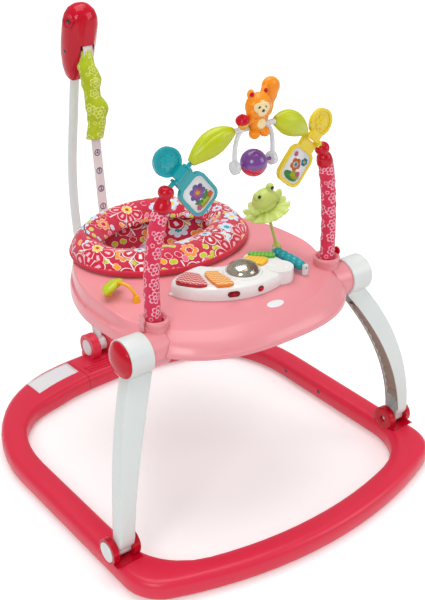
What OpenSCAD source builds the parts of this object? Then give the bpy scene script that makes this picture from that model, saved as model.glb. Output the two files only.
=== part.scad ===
// Baby jumper on a folding frame: a floor ring, two curved legs that carry an activity tray with a padded
// sling seat, a bowed rear post that hangs the back of the tray on a sprung strap, and an arch of toys.
// Frame: +Z up, front of the jumper towards -Y, origin on the floor under the middle of the overall box.

/* [Floor ring] */
// Width of the floor ring
base_w = 735; // [700:1:790]
// Depth of the floor ring
base_d = 824; // [800:1:860]
// Width of the ring's tube at the front and sides
tube_w = 54; // [50:1:58]
// Height of the ring's tube
tube_h = 42; // [38:1:46]
// Wall of the blow-moulded tubes
tube_wall = 3; // [2.5:0.1:4]
// Width of the ring at the back
rear_w = 100; // [90:1:106]
// Radius of the front bow
front_r = 845; // [800:5:900]
// Outer radius of the front corners
front_corner_r = 80; // [72:1:88]
// Inner radius of the front corners
front_inner_r = 130; // [115:1:140]
// Radius of the large rear corners
rear_corner_r = 330; // [320:1:340]
// Straight length of the rear tubes between the side seams and their corners
rear_run = 63; // [58:1:70]
// Height of the rubber floor pads
pad_h = 2; // [1.5:0.1:3]

/* [Hinges] */
// Distance of the front hinges behind the front edge
hinge_back = 182; // [178:1:188]
// Distance of the front hinges inside the ring's outer side
hinge_inset = 23.5; // [22:0.5:26]
// Height of the front hinge axis
hinge_z = 60; // [59:0.5:64]
// Radius of the bracket cheeks
cheek_r = 25; // [24:0.5:27]
// Thickness of a bracket cheek
cheek_t = 12; // [11:0.5:13]
// Radius of the hinge pins
pin_r = 5; // [4:0.25:6]
// Running clearance of pins, bushes and axles
run_gap = 0.05; // [0.02:0.01:0.1]
// Clearance between loose neighbours
gap = 0.3; // [0.2:0.05:0.4]
// Radius of a release button
button_r = 19; // [17:0.5:20]
// Thickness of a release button
button_t = 5; // [4:0.25:6]
// Travel of a release button
button_travel = 3; // [2:0.25:3.5]
// Radius of the rear bracket's cheeks
post_cheek_r = 31; // [29:0.5:33]
// Thickness of a rear bracket cheek
post_cheek_t = 20; // [18:0.5:22]
// Height of the rear hinge axis
post_z = 70; // [69:0.5:74]

/* [Legs] */
// Width of a leg at the hinge
leg_foot_w = 29; // [27:0.5:30]
// Width of a leg at the drum
leg_top_w = 50; // [46:1:52]
// Distance from the leg's line to its front face
leg_front = 28; // [26:1:30]
// Distance from the leg's line to its back face
leg_rear = 8; // [6:1:11]
// Wall of the leg channel
leg_wall = 3.5; // [3:0.1:4.5]
// Setback of the drum axis behind the hinge axis
drum_back = 67; // [60:1:74]
// Height of the drum axis
drum_z = 391; // [380:1:400]
// Diameter of the drum at the leg's top
drum_d = 73; // [70:1:76]
// Length of the drum
drum_l = 46; // [43:1:49]
// Outer radius of the bush in the drum
bush_r = 20; // [18:0.5:22]

/* [Tray] */
// Width of the tray
tray_w = 504; // [496:1:516]
// Distance from the drum axis to the tray's front edge
tray_front = 118; // [112:1:126]
// Distance from the drum axis to the tray's back edge
tray_back = 449; // [440:1:460]
// Height of the tray's lower edge above the floor
lip_z = 385; // [380:1:388]
// Height of the deck above the tray's lower edge
tray_h = 45; // [42:0.5:48]
// Wall of the tray
tray_wall = 3; // [2.5:0.1:3.5]
// Radius of the shaft that carries the tray
shaft_r = 15; // [13:0.5:16]
// Side distance of the toy arm sockets
socket_x = 202; // [196:1:204]
// Radius of the arm sockets
socket_r = 24; // [22:0.5:26]

/* [Seat] */
// Width of the seat pad
pad_w = 388; // [380:1:394]
// Length of the seat pad
pad_l = 308; // [300:1:312]
// Distance of the seat's centre behind the drum axis
seat_back = 284; // [280:1:288]
// Height of the pad's roll at the front
pad_roll = 34; // [30:1:40]
// Extra height of the pad at the back
pad_crest = 6; // [2:1:12]
// Depth of the creases between the pad's back and its sides
pad_tuck = 7; // [5:0.5:10]
// Width of the pad's opening
hole_w = 250; // [230:1:256]
// Length of the pad's opening
hole_l = 150; // [140:1:160]
// Depth of the sling below the deck
sling_depth = 214; // [200:1:222]

/* [Rear post] */
// Diameter of the post
post_d = 20; // [18:0.5:22]
// Straight length of the post above its hinge
post_straight = 185; // [175:1:195]
// Radius of the post's bow
post_bow_r = 665; // [640:5:690]
// Backward lean of the post at its hinge, in degrees
post_lean = 15.8; // [15:0.1:16.5]
// Forward lean of the post below its head, in degrees
post_tip_lean = 9.7; // [9:0.1:10.5]
// Straight length of the post below its head
post_neck = 161; // [154:1:168]
// Forward lean of the head, in degrees
head_lean = 14.5; // [13:0.1:15.5]
// Height of the red head
head_l = 165; // [158:1:172]
// Width of the head
head_w = 71; // [66:1:76]
// Depth of the head
head_d = 62; // [58:1:68]
// Width of the webbing strap
strap_w = 22; // [20:0.5:24]
// Thickness of the webbing strap
strap_t = 2; // [1.5:0.1:2.5]
// Length of the gathered sleeve over the spring
sleeve_l = 184; // [176:1:192]
// Radius of the gathered sleeve
sleeve_r = 23; // [21:0.5:25]

/* [Console] */
// Outer radius of the console's crescent
console_r = 157; // [152:1:160]
// Height of the console
console_h = 26; // [25:1:30]
// Travel of a console key
key_travel = 2.5; // [2:0.1:3]
// Radius of the mirrored dome
dome_r = 34; // [30:1:36]

/* [Toys] */
// Height of the arm collars above the floor
collar_z = 636; // [625:1:645]
// Height of the flip toys' hinges above the floor
flip_z = 695; // [690:1:700]
// Radius of the flip lids
lid_r = 25.5; // [24:0.5:27]
// Width of the flip toys' picture panels
panel_w = 62; // [58:1:66]
// Length of the flip toys' picture panels
panel_l = 72; // [68:1:76]
// Radius of the spinner ball
ball_r = 24; // [22:0.5:26]
// Height of the spinner ball's centre
ball_z = 686; // [682:1:690]

/* [Hidden] */
$fn = 48;
eps = 0.01;
// Floor ring and its frame: the overall depth runs from the ring's front to the back of the bowed post
post_inset = 27;
post_reach = post_straight * sin(post_lean) + post_bow_r * (1 - cos(post_lean)) + post_d / 2;
front_y = -(base_d + post_reach - post_inset) / 2;
back_y = front_y + base_d;
ring_top = pad_h + tube_h;
front_turn = asin((base_w / 2 - front_corner_r) / (front_r - front_corner_r));
corner_end_y = front_y + front_r * (1 - cos(front_turn)) + front_corner_r * cos(front_turn);
rear_turn = 130;
rear_flat = 171;
rear_bow_r = 830;
rear_blend_r = (base_w / 2 + rear_corner_r * (sin(rear_turn) - 1) - rear_bow_r * sin(rear_flat))
    / (sin(rear_turn) - sin(rear_flat));
rear_start_y = back_y + rear_corner_r * cos(rear_turn) - rear_blend_r * (cos(rear_turn) - cos(rear_flat))
    - rear_bow_r * (1 + cos(rear_flat));
block_w = 144;
rear_end = 180 - asin(block_w / 2 / rear_bow_r);
tube_round = 15;
tube_foot = 14;
joiner_l = 138;
joiner_tail = 58;
screw_r = 4;
pad_r = 14;
// Hinges
hinge_x = base_w / 2 - hinge_inset;
hinge_y = front_y + hinge_back;
seam_y = rear_start_y - rear_run;
clevis = leg_foot_w + 2;
cheek_in = hinge_x - clevis / 2;
cheek_out = hinge_x + clevis / 2;
knuckle_r = 15;
button_proud = 1;
button_seat = button_t - button_proud + button_travel + gap;
post_y = back_y - post_inset;
post_knuckle_r = post_d / 2 + 6;
post_knuckle_w = post_d + 4;
post_clevis = post_knuckle_w + 2;
post_face = post_clevis / 2 + post_cheek_t;
// Legs
drum_y = hinge_y + drum_back;
drum_in = 236;
drum_out = drum_in + drum_l;
leg_foot = [hinge_x, hinge_y, hinge_z];
leg_bow = [hinge_x, hinge_y - 3, hinge_z + 0.56 * (drum_z - hinge_z)];
leg_head = [drum_in + 2, drum_y + 24, drum_z];
leg_steps = 24;
cap_r = drum_d / 2 - 5;
drum_room = 6;
// Tray
tray_cy = drum_y + 144;
seat_y = drum_y + seat_back;
deck_z = lip_z + tray_h;
boss_r = 33;
socket_y = drum_y + 12;
socket_z = lip_z + 52;
latch_r = 2.5;
latch_x = socket_x + socket_r + latch_r + gap;
latch_z = socket_z - 10;
tray_pts = 60;
seat_hole_w = pad_w - 44;
seat_hole_l = pad_l - 44;
flange_t = 3;
pad_z = deck_z + gap + flange_t + gap;
opening_y = seat_y + 15;
// Rear post
arc_start = [post_straight * sin(post_lean), post_straight * cos(post_lean)];
arc_mid = arc_start + post_bow_r * [-cos(post_lean), sin(post_lean)];
arc_end = arc_mid + post_bow_r * [cos(post_tip_lean), sin(post_tip_lean)];
post_tip = arc_end + post_neck * [-sin(post_tip_lean), cos(post_tip_lean)];
head_shift = 4;
head_y = post_y + post_tip[0] - head_shift;
head_z = post_z + post_tip[1];
strap_top = [0, post_y - 14, 768];
anchor_reach = 45;
strap_foot = [0, drum_y + tray_back + anchor_reach, lip_z - 6];
strap_lean = atan((strap_top[1] - strap_foot[1]) / (strap_top[2] - strap_foot[2]));
strap_run = norm(strap_top - strap_foot);
strap_tail = 16;
strap_tuck = 18;
sleeve_puffs = 4;
sleeve_rings = 20;
spring_r = 8;
// Console
console_x = 21;
console_y = drum_y + 139;
console_from = 200;
console_to = 322;
console_side = 88;
console_in = 60;
dome_at = [-8, -103];
drum_at = [61, -128];
speaker_r = 26;
// Toys
arch_y = drum_y + 10;
flip_x = 146;
flip_lean = 40;
flip_axis = -7;
lug_reach = 24.5;
flip_t = 8;
finial_x = 184;
finial_z = collar_z + 34;
finial_r = 11;
arm_r = 8;
sleeve_arm_r = 15;
mid_y = arch_y - 15;
mid_z = flip_z + 56;
leaf_out = [flip_x, arch_y - 5, flip_z] + (lug_reach + 1.2) * [-cos(flip_lean), 0, sin(flip_lean)];
leaf_in = [45, mid_y, mid_z];
bead_a = [-208, drum_y + 152];
bead_b = [-182, drum_y + 100];
bead_rise = 22;
bead_foot_r = 8;
roller_x = 132;
roller_y = drum_y + 42;
roller_l = 86;
frog_x = 158;
frog_y = drum_y + 108;
frog_lean = 18;
frog_foot = 9;
stalk_l = 95;

// Point a share t of the way from a to b
function mix(a, b, t) = a + (b - a) * t;
// Smooth step between 0 and 1
function ease(t) = let (c = min(1, max(0, t))) c * c * (3 - 2 * c);
// Quadratic curve from a to c, drawn towards b
function bend(a, b, c, t) = (1 - t) * (1 - t) * a + 2 * t * (1 - t) * b + t * t * c;
function unit(v) = v / norm(v);
function reverse(list) = [for (i = [len(list) - 1 : -1 : 0]) list[i]];
// Signed power, for rounded rectangles and the tray's outline
function power(x, p) = sign(x) * pow(abs(x), p);
// Quarter circle of points, counter-clockwise from angle a
function corner(x, y, r, a, n = 3) = [
    for (i = [0 : n]) let (b = a + 90 * i / n) [x + r * cos(b), y + r * sin(b)]];
// Rounded box outline with its own radius at the bottom and at the top
function round_box(x0, y0, x1, y1, rb, rt, n = 3) = concat(
    corner(x0 + rb, y0 + rb, rb, 180, n),
    corner(x1 - rb, y0 + rb, rb, 270, n),
    corner(x1 - rt, y1 - rt, rt, 0, n),
    corner(x0 + rt, y1 - rt, rt, 90, n));
function oval(rx, ry, cy, z, n = 48) = [
    for (i = [0 : n - 1]) let (a = 360 * i / n) [rx * cos(a), cy + ry * sin(a), z]];

// Solid over a list of rings with equal counts; a looped skin joins its last ring to its first, and the
// ends of a channel are closed between the outer half of its ring and the inner half
module skin(rings, loop = false, channel = false) {
    n = len(rings[0]);
    m = len(rings);
    points = [for (r = rings) each r];
    sides = [
        for (i = [0 : m - (loop ? 1 : 2)], j = [0 : n - 1])
        let (
            row = i * n,
            next = ((i + 1) % m) * n,
            a = row + j,
            b = row + (j + 1) % n,
            d = next + j,
            c = next + (j + 1) % n)
        each [[a, c, b], [a, d, c]]
    ];
    last = (m - 1) * n;
    strips = [for (j = [0 : n / 2 - 2]) [j, j + 1, n - 2 - j, n - 1 - j]];
    ends = channel ? strips : [[for (j = [0 : n - 1]) j]];
    caps = loop ? [] : concat(ends, [for (e = ends) [for (j = reverse(e)) last + j]]);
    polyhedron(points, concat(sides, caps));
}

// Tube of given radii along a list of points, for arms, arches and leaves
function along(pts, i) = unit(pts[min(i + 1, len(pts) - 1)] - pts[max(i - 1, 0)]);
function ring_at(p, t, rx, ry, side, n) = let (u = unit(side - (side * t) * t), v = cross(t, u))
    [for (k = [0 : n - 1]) p + rx * cos(360 * k / n) * u + ry * sin(360 * k / n) * v];

// Cylinder from x0 to x1 along the X axis
module bar_x(x0, x1, r, y, z) {
    translate([x0, y, z])
        rotate([0, 90, 0])
            cylinder(r = r, h = x1 - x0);
}

// Plate with round corners in the XZ plane, t thick along Y, centred on the origin
module round_plate(w, h, r, t) {
    rotate([90, 0, 0])
        linear_extrude(t, center = true) {
            square([w - 2 * r, h], center = true);
            square([w, h - 2 * r], center = true);
            for (x = [-1, 1], y = [-1, 1])
                translate([x * (w / 2 - r), y * (h / 2 - r)])
                    circle(r);
        }
}

// Floor ring: stations [x, y, heading, width] along its outer edge, right half
front_mid = [0, front_y + front_r];
inner_x = base_w / 2 - tube_w;
fillet_gap = front_r - tube_w - front_inner_r;
fillet_x = inner_x - front_inner_r;
fillet_mid = [fillet_x, front_mid[1] - sqrt(pow(fillet_gap, 2) - pow(fillet_x, 2))];
fillet_turn = asin(fillet_mid[0] / fillet_gap);
corner_mid = [base_w / 2 - front_corner_r, corner_end_y];
// Lengths of the outer edge opposite the inside round: along the bow, round the corner, along the side
bow_run = front_r * (front_turn - fillet_turn) * PI / 180;
corner_run = front_corner_r * (90 - front_turn) * PI / 180;
side_run = fillet_mid[1] - corner_end_y;
lead_run = bow_run + corner_run + side_run;
function heading(mid, r, a) = mid + r * [sin(a), -cos(a)];
// Station from a point of the outer edge to the inside round, a share of the way round it
function span(o, run) = let (i = heading(fillet_mid, front_inner_r, mix(fillet_turn, 90, run / lead_run)))
    [o[0], o[1], atan2(o[0] - i[0], i[1] - o[1]), norm(i - o)];
function front_half() = concat(
    [for (i = [0 : 6]) let (a = fillet_turn * i / 6, o = heading(front_mid, front_r, a))
        [o[0], o[1], a, tube_w]],
    [for (i = [1 : 2]) let (a = mix(fillet_turn, front_turn, i / 2))
        span(heading(front_mid, front_r, a), bow_run * i / 2)],
    [for (i = [1 : 7]) let (a = mix(front_turn, 90, i / 7))
        span(heading(corner_mid, front_corner_r, a), bow_run + corner_run * i / 7)],
    [for (i = [1 : 2]) let (done = side_run * i / 2)
        span([base_w / 2, corner_end_y + done], lead_run - side_run + done)],
    [[base_w / 2, seam_y, 90, tube_w]]);
function flip_half(half) = [
    for (i = [len(half) - 1 : -1 : 1]) let (h = half[i]) [-h[0], h[1], -h[2], h[3]]];
function rear_width(a) = mix(tube_w, rear_w, ease((a - 112) / 50));
function rear_half() = let (
    xa = base_w / 2 + rear_corner_r * (sin(rear_turn) - 1),
    ya = rear_start_y - rear_corner_r * cos(rear_turn),
    xb = xa + rear_blend_r * (sin(rear_flat) - sin(rear_turn)),
    yb = ya + rear_blend_r * (cos(rear_turn) - cos(rear_flat)))
    concat(
        [[base_w / 2, seam_y, 90, tube_w]],
        [for (i = [0 : 6]) let (a = mix(90, rear_turn, i / 6)) [
            base_w / 2 + rear_corner_r * (sin(a) - 1),
            rear_start_y - rear_corner_r * cos(a),
            a,
            rear_width(a)]],
        [for (i = [1 : 7]) let (a = mix(rear_turn, rear_flat, i / 7)) [
            xa + rear_blend_r * (sin(a) - sin(rear_turn)),
            ya + rear_blend_r * (cos(rear_turn) - cos(a)),
            a,
            rear_width(a)]],
        [for (i = [1 : 2]) let (a = mix(rear_flat, rear_end, i / 2)) [
            xb + rear_bow_r * (sin(a) - sin(rear_flat)),
            yb + rear_bow_r * (cos(rear_flat) - cos(a)),
            a,
            rear_w]]);
function tube_section(w, inset) =
    round_box(inset, pad_h + inset, w - inset, ring_top - inset, tube_foot - inset / 2, tube_round - inset);
function station_ring(s, inset) = [
    for (p = tube_section(s[3], inset)) [s[0] - p[0] * sin(s[2]), s[1] + p[0] * cos(s[2]), p[1]]];
module hollow_tube(stations) {
    outer = [for (s = stations) station_ring(s, 0)];
    inner = [for (s = stations) station_ring(s, tube_wall)];
    skin(concat(outer, reverse(inner)), loop = true);
}
// Screw places on the ring's inner side: [y, z]
base_screw_places = [[seam_y - 70, pad_h + tube_h * 0.6], [seam_y + 40, pad_h + tube_h * 0.6]];
module base_screw_holes(r, depth) {
    for (p = base_screw_places, s = [0, 1])
        mirror([s, 0, 0])
            bar_x(base_w / 2 - tube_w - 1, base_w / 2 - tube_w + depth, r, p[0], p[1]);
}
module base_front_tube() {
    color([0.84, 0.14, 0.25])
        difference() {
            hollow_tube(concat(flip_half(front_half()), front_half()));
            base_screw_holes(screw_r + gap, tube_wall + 3);
        }
}
module base_rear_side() {
    color([0.84, 0.14, 0.25])
        difference() {
            hollow_tube(rear_half());
            base_screw_holes(screw_r + gap, tube_wall + 3);
        }
}
module base_left_tube() {
    mirror([1, 0, 0])
        base_rear_side();
}
module base_right_tube() {
    base_rear_side();
}
// Plugs inside the tubes that hold the side seams together
module base_joiners() {
    inset = tube_wall + gap;
    x0 = base_w / 2 - tube_w + inset;
    x1 = base_w / 2 - inset;
    color([0.3, 0.3, 0.32])
        for (s = [0, 1])
            mirror([s, 0, 0])
                difference() {
                    translate([0, seam_y + joiner_tail, 0])
                        rotate([90, 0, 0])
                            linear_extrude(joiner_l)
                                polygon(round_box(
                                    x0, pad_h + inset, x1, ring_top - inset, tube_foot, tube_round));
                    for (p = base_screw_places)
                        bar_x(x0 - 1, x0 + 12, screw_r - 1.5, p[0], p[1]);
                }
}
module base_screws() {
    x0 = base_w / 2 - tube_w;
    color([0.75, 0.75, 0.77])
        for (p = base_screw_places, s = [0, 1])
            mirror([s, 0, 0]) {
                bar_x(x0 + 1, x0 + tube_wall, screw_r, p[0], p[1]);
                bar_x(x0 + tube_wall, x0 + tube_wall + 11, screw_r - 1.5 - run_gap, p[0], p[1]);
            }
}
module floor_pads() {
    half = front_turn / 2;
    color([0.25, 0.25, 0.26])
        for (s = [-1, 1]) {
            translate([s * (base_w / 2 - tube_w / 2), seam_y - 40, 0])
                cylinder(r = pad_r, h = pad_h);
            translate([s * (base_w / 2 - tube_w / 2), hinge_y, 0])
                cylinder(r = pad_r, h = pad_h);
            translate([s * front_r * sin(half), front_y + front_r * (1 - cos(half)) + tube_w / 2, 0])
                cylinder(r = pad_r, h = pad_h);
            translate([s * (block_w / 2 + 30), back_y - rear_w / 2, 0])
                cylinder(r = pad_r, h = pad_h);
        }
}

// Front hinge bracket, right side: two cheeks on a saddle that sits on the ring
module front_bracket() {
    color([0.76, 0.04, 0.17])
        difference() {
            union() {
                bar_x(cheek_in - cheek_t, cheek_in, cheek_r, hinge_y, hinge_z);
                bar_x(cheek_out, cheek_out + cheek_t, cheek_r, hinge_y, hinge_z);
                translate([cheek_in - cheek_t, hinge_y - cheek_r - 8, ring_top - 4])
                    cube([clevis + 2 * cheek_t, 2 * cheek_r + 8, 5]);
            }
            translate([inner_x - gap, hinge_y - 60, 0])
                cube([120, 120, ring_top + gap / 2]);
            bar_x(cheek_in, cheek_out, knuckle_r + 1, hinge_y, hinge_z);
            bar_x(cheek_in - cheek_t - 1, cheek_out + cheek_t, pin_r, hinge_y, hinge_z);
            bar_x(
                cheek_out + cheek_t - button_seat, cheek_out + 2 * cheek_t, button_r + gap, hinge_y, hinge_z);
        }
}
module left_hinge_bracket() {
    mirror([1, 0, 0])
        front_bracket();
}
module right_hinge_bracket() {
    front_bracket();
}
// Round push button in the outer cheek
module front_button() {
    face = cheek_out + cheek_t + button_proud;
    color([0.93, 0.93, 0.92])
        bar_x(face - button_t, face, button_r, hinge_y, hinge_z);
}
module left_release_button() {
    mirror([1, 0, 0])
        front_button();
}
module right_release_button() {
    front_button();
}
// Rear bracket: the ring's back block with two cheeks for the post
module rear_hinge_bracket() {
    half = [for (i = [0 : 1]) let (a = mix(rear_end, 180, i)) [
        rear_bow_r * sin(a), back_y - rear_bow_r * (1 + cos(a)), a, rear_w]];
    mirrored = [[-half[0][0], half[0][1], 360 - half[0][2], rear_w]];
    color([0.8, 0.08, 0.2])
        difference() {
            union() {
                skin([for (s = concat(half, mirrored)) station_ring(s, 0)]);
                bar_x(-post_face, -post_clevis / 2, post_cheek_r, post_y, post_z);
                bar_x(post_clevis / 2, post_face, post_cheek_r, post_y, post_z);
                translate([-post_face, post_y - post_cheek_r, ring_top - 6])
                    cube([2 * post_face, post_inset + post_cheek_r, 10]);
                for (i = [0 : 2])
                    translate([-block_w / 2 + 8, back_y - rear_w + 12 + 10 * i, ring_top - 3])
                        cube([block_w - 16, 5, 5]);
            }
            bar_x(-post_clevis / 2, post_clevis / 2, post_knuckle_r + 2, post_y, post_z);
            bar_x(-post_face, post_face, pin_r, post_y, post_z);
            bar_x(-post_face - 1, -post_face + button_seat, button_r + gap, post_y, post_z);
        }
}
module rear_release_button() {
    face = -post_face - button_proud;
    color([0.93, 0.93, 0.92])
        bar_x(face, face + button_t, button_r, post_y, post_z);
}
module hinge_pins() {
    color([0.7, 0.7, 0.72]) {
        for (s = [0, 1])
            mirror([s, 0, 0])
                bar_x(cheek_in - cheek_t + 3, cheek_out + cheek_t - button_seat, pin_r, hinge_y, hinge_z);
        bar_x(-post_face + button_seat, post_face - 3, pin_r, post_y, post_z);
    }
}

// Leg: a channel along a bowed line, open towards the inside, with a knuckle below and a drum on top
function leg_point(t) = bend(leg_foot, leg_bow, leg_head, t);
function leg_width(t) = mix(leg_foot_w, leg_top_w, ease(t * 1.1));
function leg_fit(t) = ease(t / 0.07);
function leg_place(t, p) = leg_point(t) + [p[0], p[1], 0];
function leg_face(t) = -mix(knuckle_r, leg_front, leg_fit(t));
function leg_back(t) = mix(knuckle_r - 1, leg_rear, leg_fit(t));
function leg_profile(t) = let (w = leg_width(t) / 2, f = leg_face(t), b = leg_back(t), k = leg_wall)
    [[-w, f], [w - 5, f], [w - 1.5, f + 1.5], [w, f + 5], [w, b - 14], [w - 3, b - 5], [w - 12, b], [-w, b],
        [-w, b - k], [w - 13, b - k], [w - k - 2.5, b - 7], [w - k, b - 14], [w - k, f + k + 2.5],
        [w - k - 0.7, f + k + 0.7], [w - k - 2.5, f + k], [-w, f + k]];
module leg() {
    color([0.88, 0.9, 0.89])
        difference() {
            union() {
                skin([for (i = [0 : leg_steps]) let (t = mix(0.01, 0.93, i / leg_steps))
                    [for (p = leg_profile(t)) leg_place(t, p)]], channel = true);
                bar_x(hinge_x - leg_foot_w / 2, hinge_x + leg_foot_w / 2, knuckle_r, hinge_y, hinge_z);
                bar_x(drum_in, drum_out, drum_d / 2, drum_y, drum_z);
            }
            bar_x(hinge_x - leg_foot_w, hinge_x + leg_foot_w, pin_r + run_gap, hinge_y, hinge_z);
            bar_x(drum_in - 40, drum_out - 8, bush_r + run_gap, drum_y, drum_z);
            bar_x(drum_in - 40, drum_in, drum_d / 2 + 1, drum_y, drum_z);
            bar_x(drum_out, drum_out + 60, cap_r + gap, drum_y, drum_z);
        }
}
module left_leg() {
    mirror([1, 0, 0])
        leg();
}
module right_leg() {
    leg();
}
// Ribbed strip that closes the leg's open side
module liner() {
    color([0.6, 0.53, 0.47])
        skin([for (i = [0 : leg_steps]) let (
            t = mix(0.16, 0.8, i / leg_steps),
            w = leg_width(t) / 2,
            f = leg_face(t) + leg_wall + gap,
            b = leg_back(t) - leg_wall - gap,
            x1 = w - leg_wall - gap,
            x0 = -w + 2 + 3 * (i % 2),
            section = [[x0, f], [x1 - 3, f], [x1, f + 3], [x1, b - 12], [x1 - 10, b], [x0, b]])
            [for (p = section) leg_place(t, p)]]);
}
module left_leg_liner() {
    mirror([1, 0, 0])
        liner();
}
module right_leg_liner() {
    liner();
}
// Domed cap on the drum's outer end
module leg_cap() {
    color([0.76, 0.04, 0.17])
        translate([drum_out, drum_y, drum_z])
            rotate([0, 90, 0]) {
                cylinder(r = cap_r, h = 5);
                translate([0, 0, 5])
                    cylinder(r1 = cap_r, r2 = cap_r * 0.7, h = 2.5);
                translate([0, 0, 7.5])
                    cylinder(r1 = cap_r * 0.7, r2 = cap_r * 0.3, h = 1.2);
            }
}
module left_leg_cap() {
    mirror([1, 0, 0])
        leg_cap();
}
module right_leg_cap() {
    leg_cap();
}
// Bushes on the tray's shafts that turn in the drums
module pivot_bushes() {
    color([0.75, 0.76, 0.76])
        for (s = [0, 1])
            mirror([s, 0, 0])
                difference() {
                    bar_x(drum_in + 1, drum_out - 9, bush_r, drum_y, drum_z);
                    bar_x(drum_in - 1, drum_out, shaft_r + run_gap, drum_y, drum_z);
                }
}

function tray_edge(a) = let (
    front = sin(a) < 0,
    n = front ? 2.6 : 1.75,
    b = front ? tray_cy - drum_y + tray_front : drum_y + tray_back - tray_cy)
    [tray_w / 2 * power(cos(a), 2 / n), tray_cy + b * power(sin(a), 2 / n), 0];
function tray_mouth(a) = [seat_hole_w / 2 * cos(a), seat_y + seat_hole_l / 2 * sin(a), 0];
// Ring of the tray: d inside the edge but never past a share of the way to the mouth, at a height
function tray_ring(d, share, z) = [
    for (i = [0 : tray_pts - 1])
    let (
        a = 360 * i / tray_pts,
        e = tray_edge(a),
        m = tray_mouth(a),
        p = e + (m - e) * min(d / norm(m - e), share))
    [p[0], p[1], lip_z + z]];
function mouth_ring(back, z) = [
    for (i = [0 : tray_pts - 1])
    let (a = 360 * i / tray_pts, m = tray_mouth(a), p = m + back * unit(tray_edge(a) - m))
    [p[0], p[1], lip_z + z]];
module tray_shell() {
    w = tray_wall;
    h = tray_h;
    color([0.94, 0.59, 0.62])
        difference() {
            skin([
                tray_ring(0, 0, 0), tray_ring(0, 0, 7), tray_ring(2, 0.03, 8), tray_ring(6, 0.08, h * 0.28),
                tray_ring(16, 0.17, h * 0.46), tray_ring(32, 0.3, h * 0.68), tray_ring(54, 0.45, h * 0.87),
                tray_ring(80, 0.6, h * 0.97), tray_ring(110, 0.75, h), mouth_ring(0, h),
                mouth_ring(0, h - 14), mouth_ring(w, h - 14), mouth_ring(w, h - w),
                tray_ring(110, 0.76, h - w), tray_ring(80, 0.63, h * 0.97 - w),
                tray_ring(55, 0.48, h * 0.87 - w), tray_ring(33, 0.34, h * 0.68 - w),
                tray_ring(18, 0.22, h * 0.46 - w), tray_ring(9, 0.13, h * 0.28 - w),
                tray_ring(5, 0.08, 0)], loop = true);
            for (s = [0, 1])
                mirror([s, 0, 0]) {
                    bar_x(socket_x - 4, tray_w, boss_r + gap, drum_y, drum_z);
                    bar_x(drum_in - 4, tray_w, drum_d / 2 + drum_room, drum_y, drum_z);
                    translate([socket_x, socket_y, lip_z - 20])
                        cylinder(r = socket_r + gap, h = 100);
                }
        }
}
// Shoulders: bosses and shafts that turn in the drums, with the sockets of the toy arms
module tray_shoulders() {
    color([0.93, 0.56, 0.6])
        for (s = [0, 1])
            mirror([s, 0, 0])
                difference() {
                    union() {
                        bar_x(socket_x - 4 + gap, drum_in - gap, boss_r, drum_y, drum_z);
                        bar_x(drum_in - 1, drum_out - 10, shaft_r, drum_y, drum_z);
                        translate([socket_x, socket_y, lip_z - 8])
                            cylinder(r = socket_r, h = socket_z - 6 - lip_z + 8);
                        translate([socket_x, socket_y, socket_z - 6])
                            cylinder(r1 = socket_r, r2 = socket_r - 3, h = 6);
                    }
                    translate([socket_x, socket_y, socket_z - 30])
                        cylinder(r = sleeve_arm_r + 2, h = 40);
                }
}
// Seat: rigid ring in the tray's mouth, soft pad on it and a sling below
module seat_ring() {
    z = deck_z + gap;
    rx = seat_hole_w / 2;
    ry = seat_hole_l / 2;
    color([0.9, 0.9, 0.89])
        skin([
            oval(rx + 10, ry + 10, seat_y, z), oval(rx + 10, ry + 10, seat_y, z + flange_t),
            oval(rx - 10, ry - 10, seat_y, z + flange_t), oval(rx - 10, ry - 10, seat_y, z - 12),
            oval(rx - 4, ry - 4, seat_y, z - 12), oval(rx - 4, ry - 4, seat_y, z)], loop = true);
}
// Pad roll: share r from the outer edge to the opening, share h of the roll's height
pad_profile = [
    [0.02, 0], [0, 0.16], [0.07, 0.44], [0.18, 0.74], [0.32, 0.94], [0.48, 1], [0.66, 0.95],
    [0.84, 0.76], [0.96, 0.48], [1, 0.22], [0.96, 0.04], [0.8, 0], [0.4, 0]];
function pad_crease(a, at) = pad_tuck * exp(-pow((a - at) / 8, 2));
function pad_top(a) =
    pad_roll + pad_crest * ease((sin(a) + 0.7) / 1.5) - pad_crease(a, 28) - pad_crease(a, 152);
function pad_outer(a) = [pad_w / 2 * cos(a), seat_y + pad_l / 2 * sin(a), pad_z];
function pad_inner(a) = [hole_w / 2 * cos(a), opening_y + hole_l / 2 * sin(a), pad_z];
module seat_pad() {
    color([0.85, 0.2, 0.35])
        skin([for (p = pad_profile) [for (i = [0 : 59]) let (a = 6 * i)
            mix(pad_outer(a), pad_inner(a), p[0]) + [0, 0, p[1] * pad_top(a)]]], loop = true);
}
// Sling: share of the mouth's size, share of the depth
sling_profile = [[1, 0], [0.86, 0.08], [0.78, 0.3], [0.7, 0.55], [0.55, 0.8], [0.34, 0.95], [0.1, 1]];
module seat_sling() {
    wall = 3;
    top = pad_z - gap;
    rx = seat_hole_w / 2 - 12;
    ry = seat_hole_l / 2 - 12;
    outer = [for (p = sling_profile) oval(rx * p[0], ry * p[0], seat_y, top - sling_depth * p[1], 36)];
    inner = [for (p = sling_profile)
        oval(rx * p[0] - wall, ry * p[0] - wall, seat_y, top - (sling_depth - wall) * p[1], 36)];
    color([0.86, 0.3, 0.42])
        difference() {
            skin(concat(reverse(outer), inner));
            for (s = [-1, 1])
                translate([s * 58, seat_y, top - sling_depth * 0.6])
                    rotate([90, 0, s * 20])
                        cylinder(r = 42, h = 200);
        }
}
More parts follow.
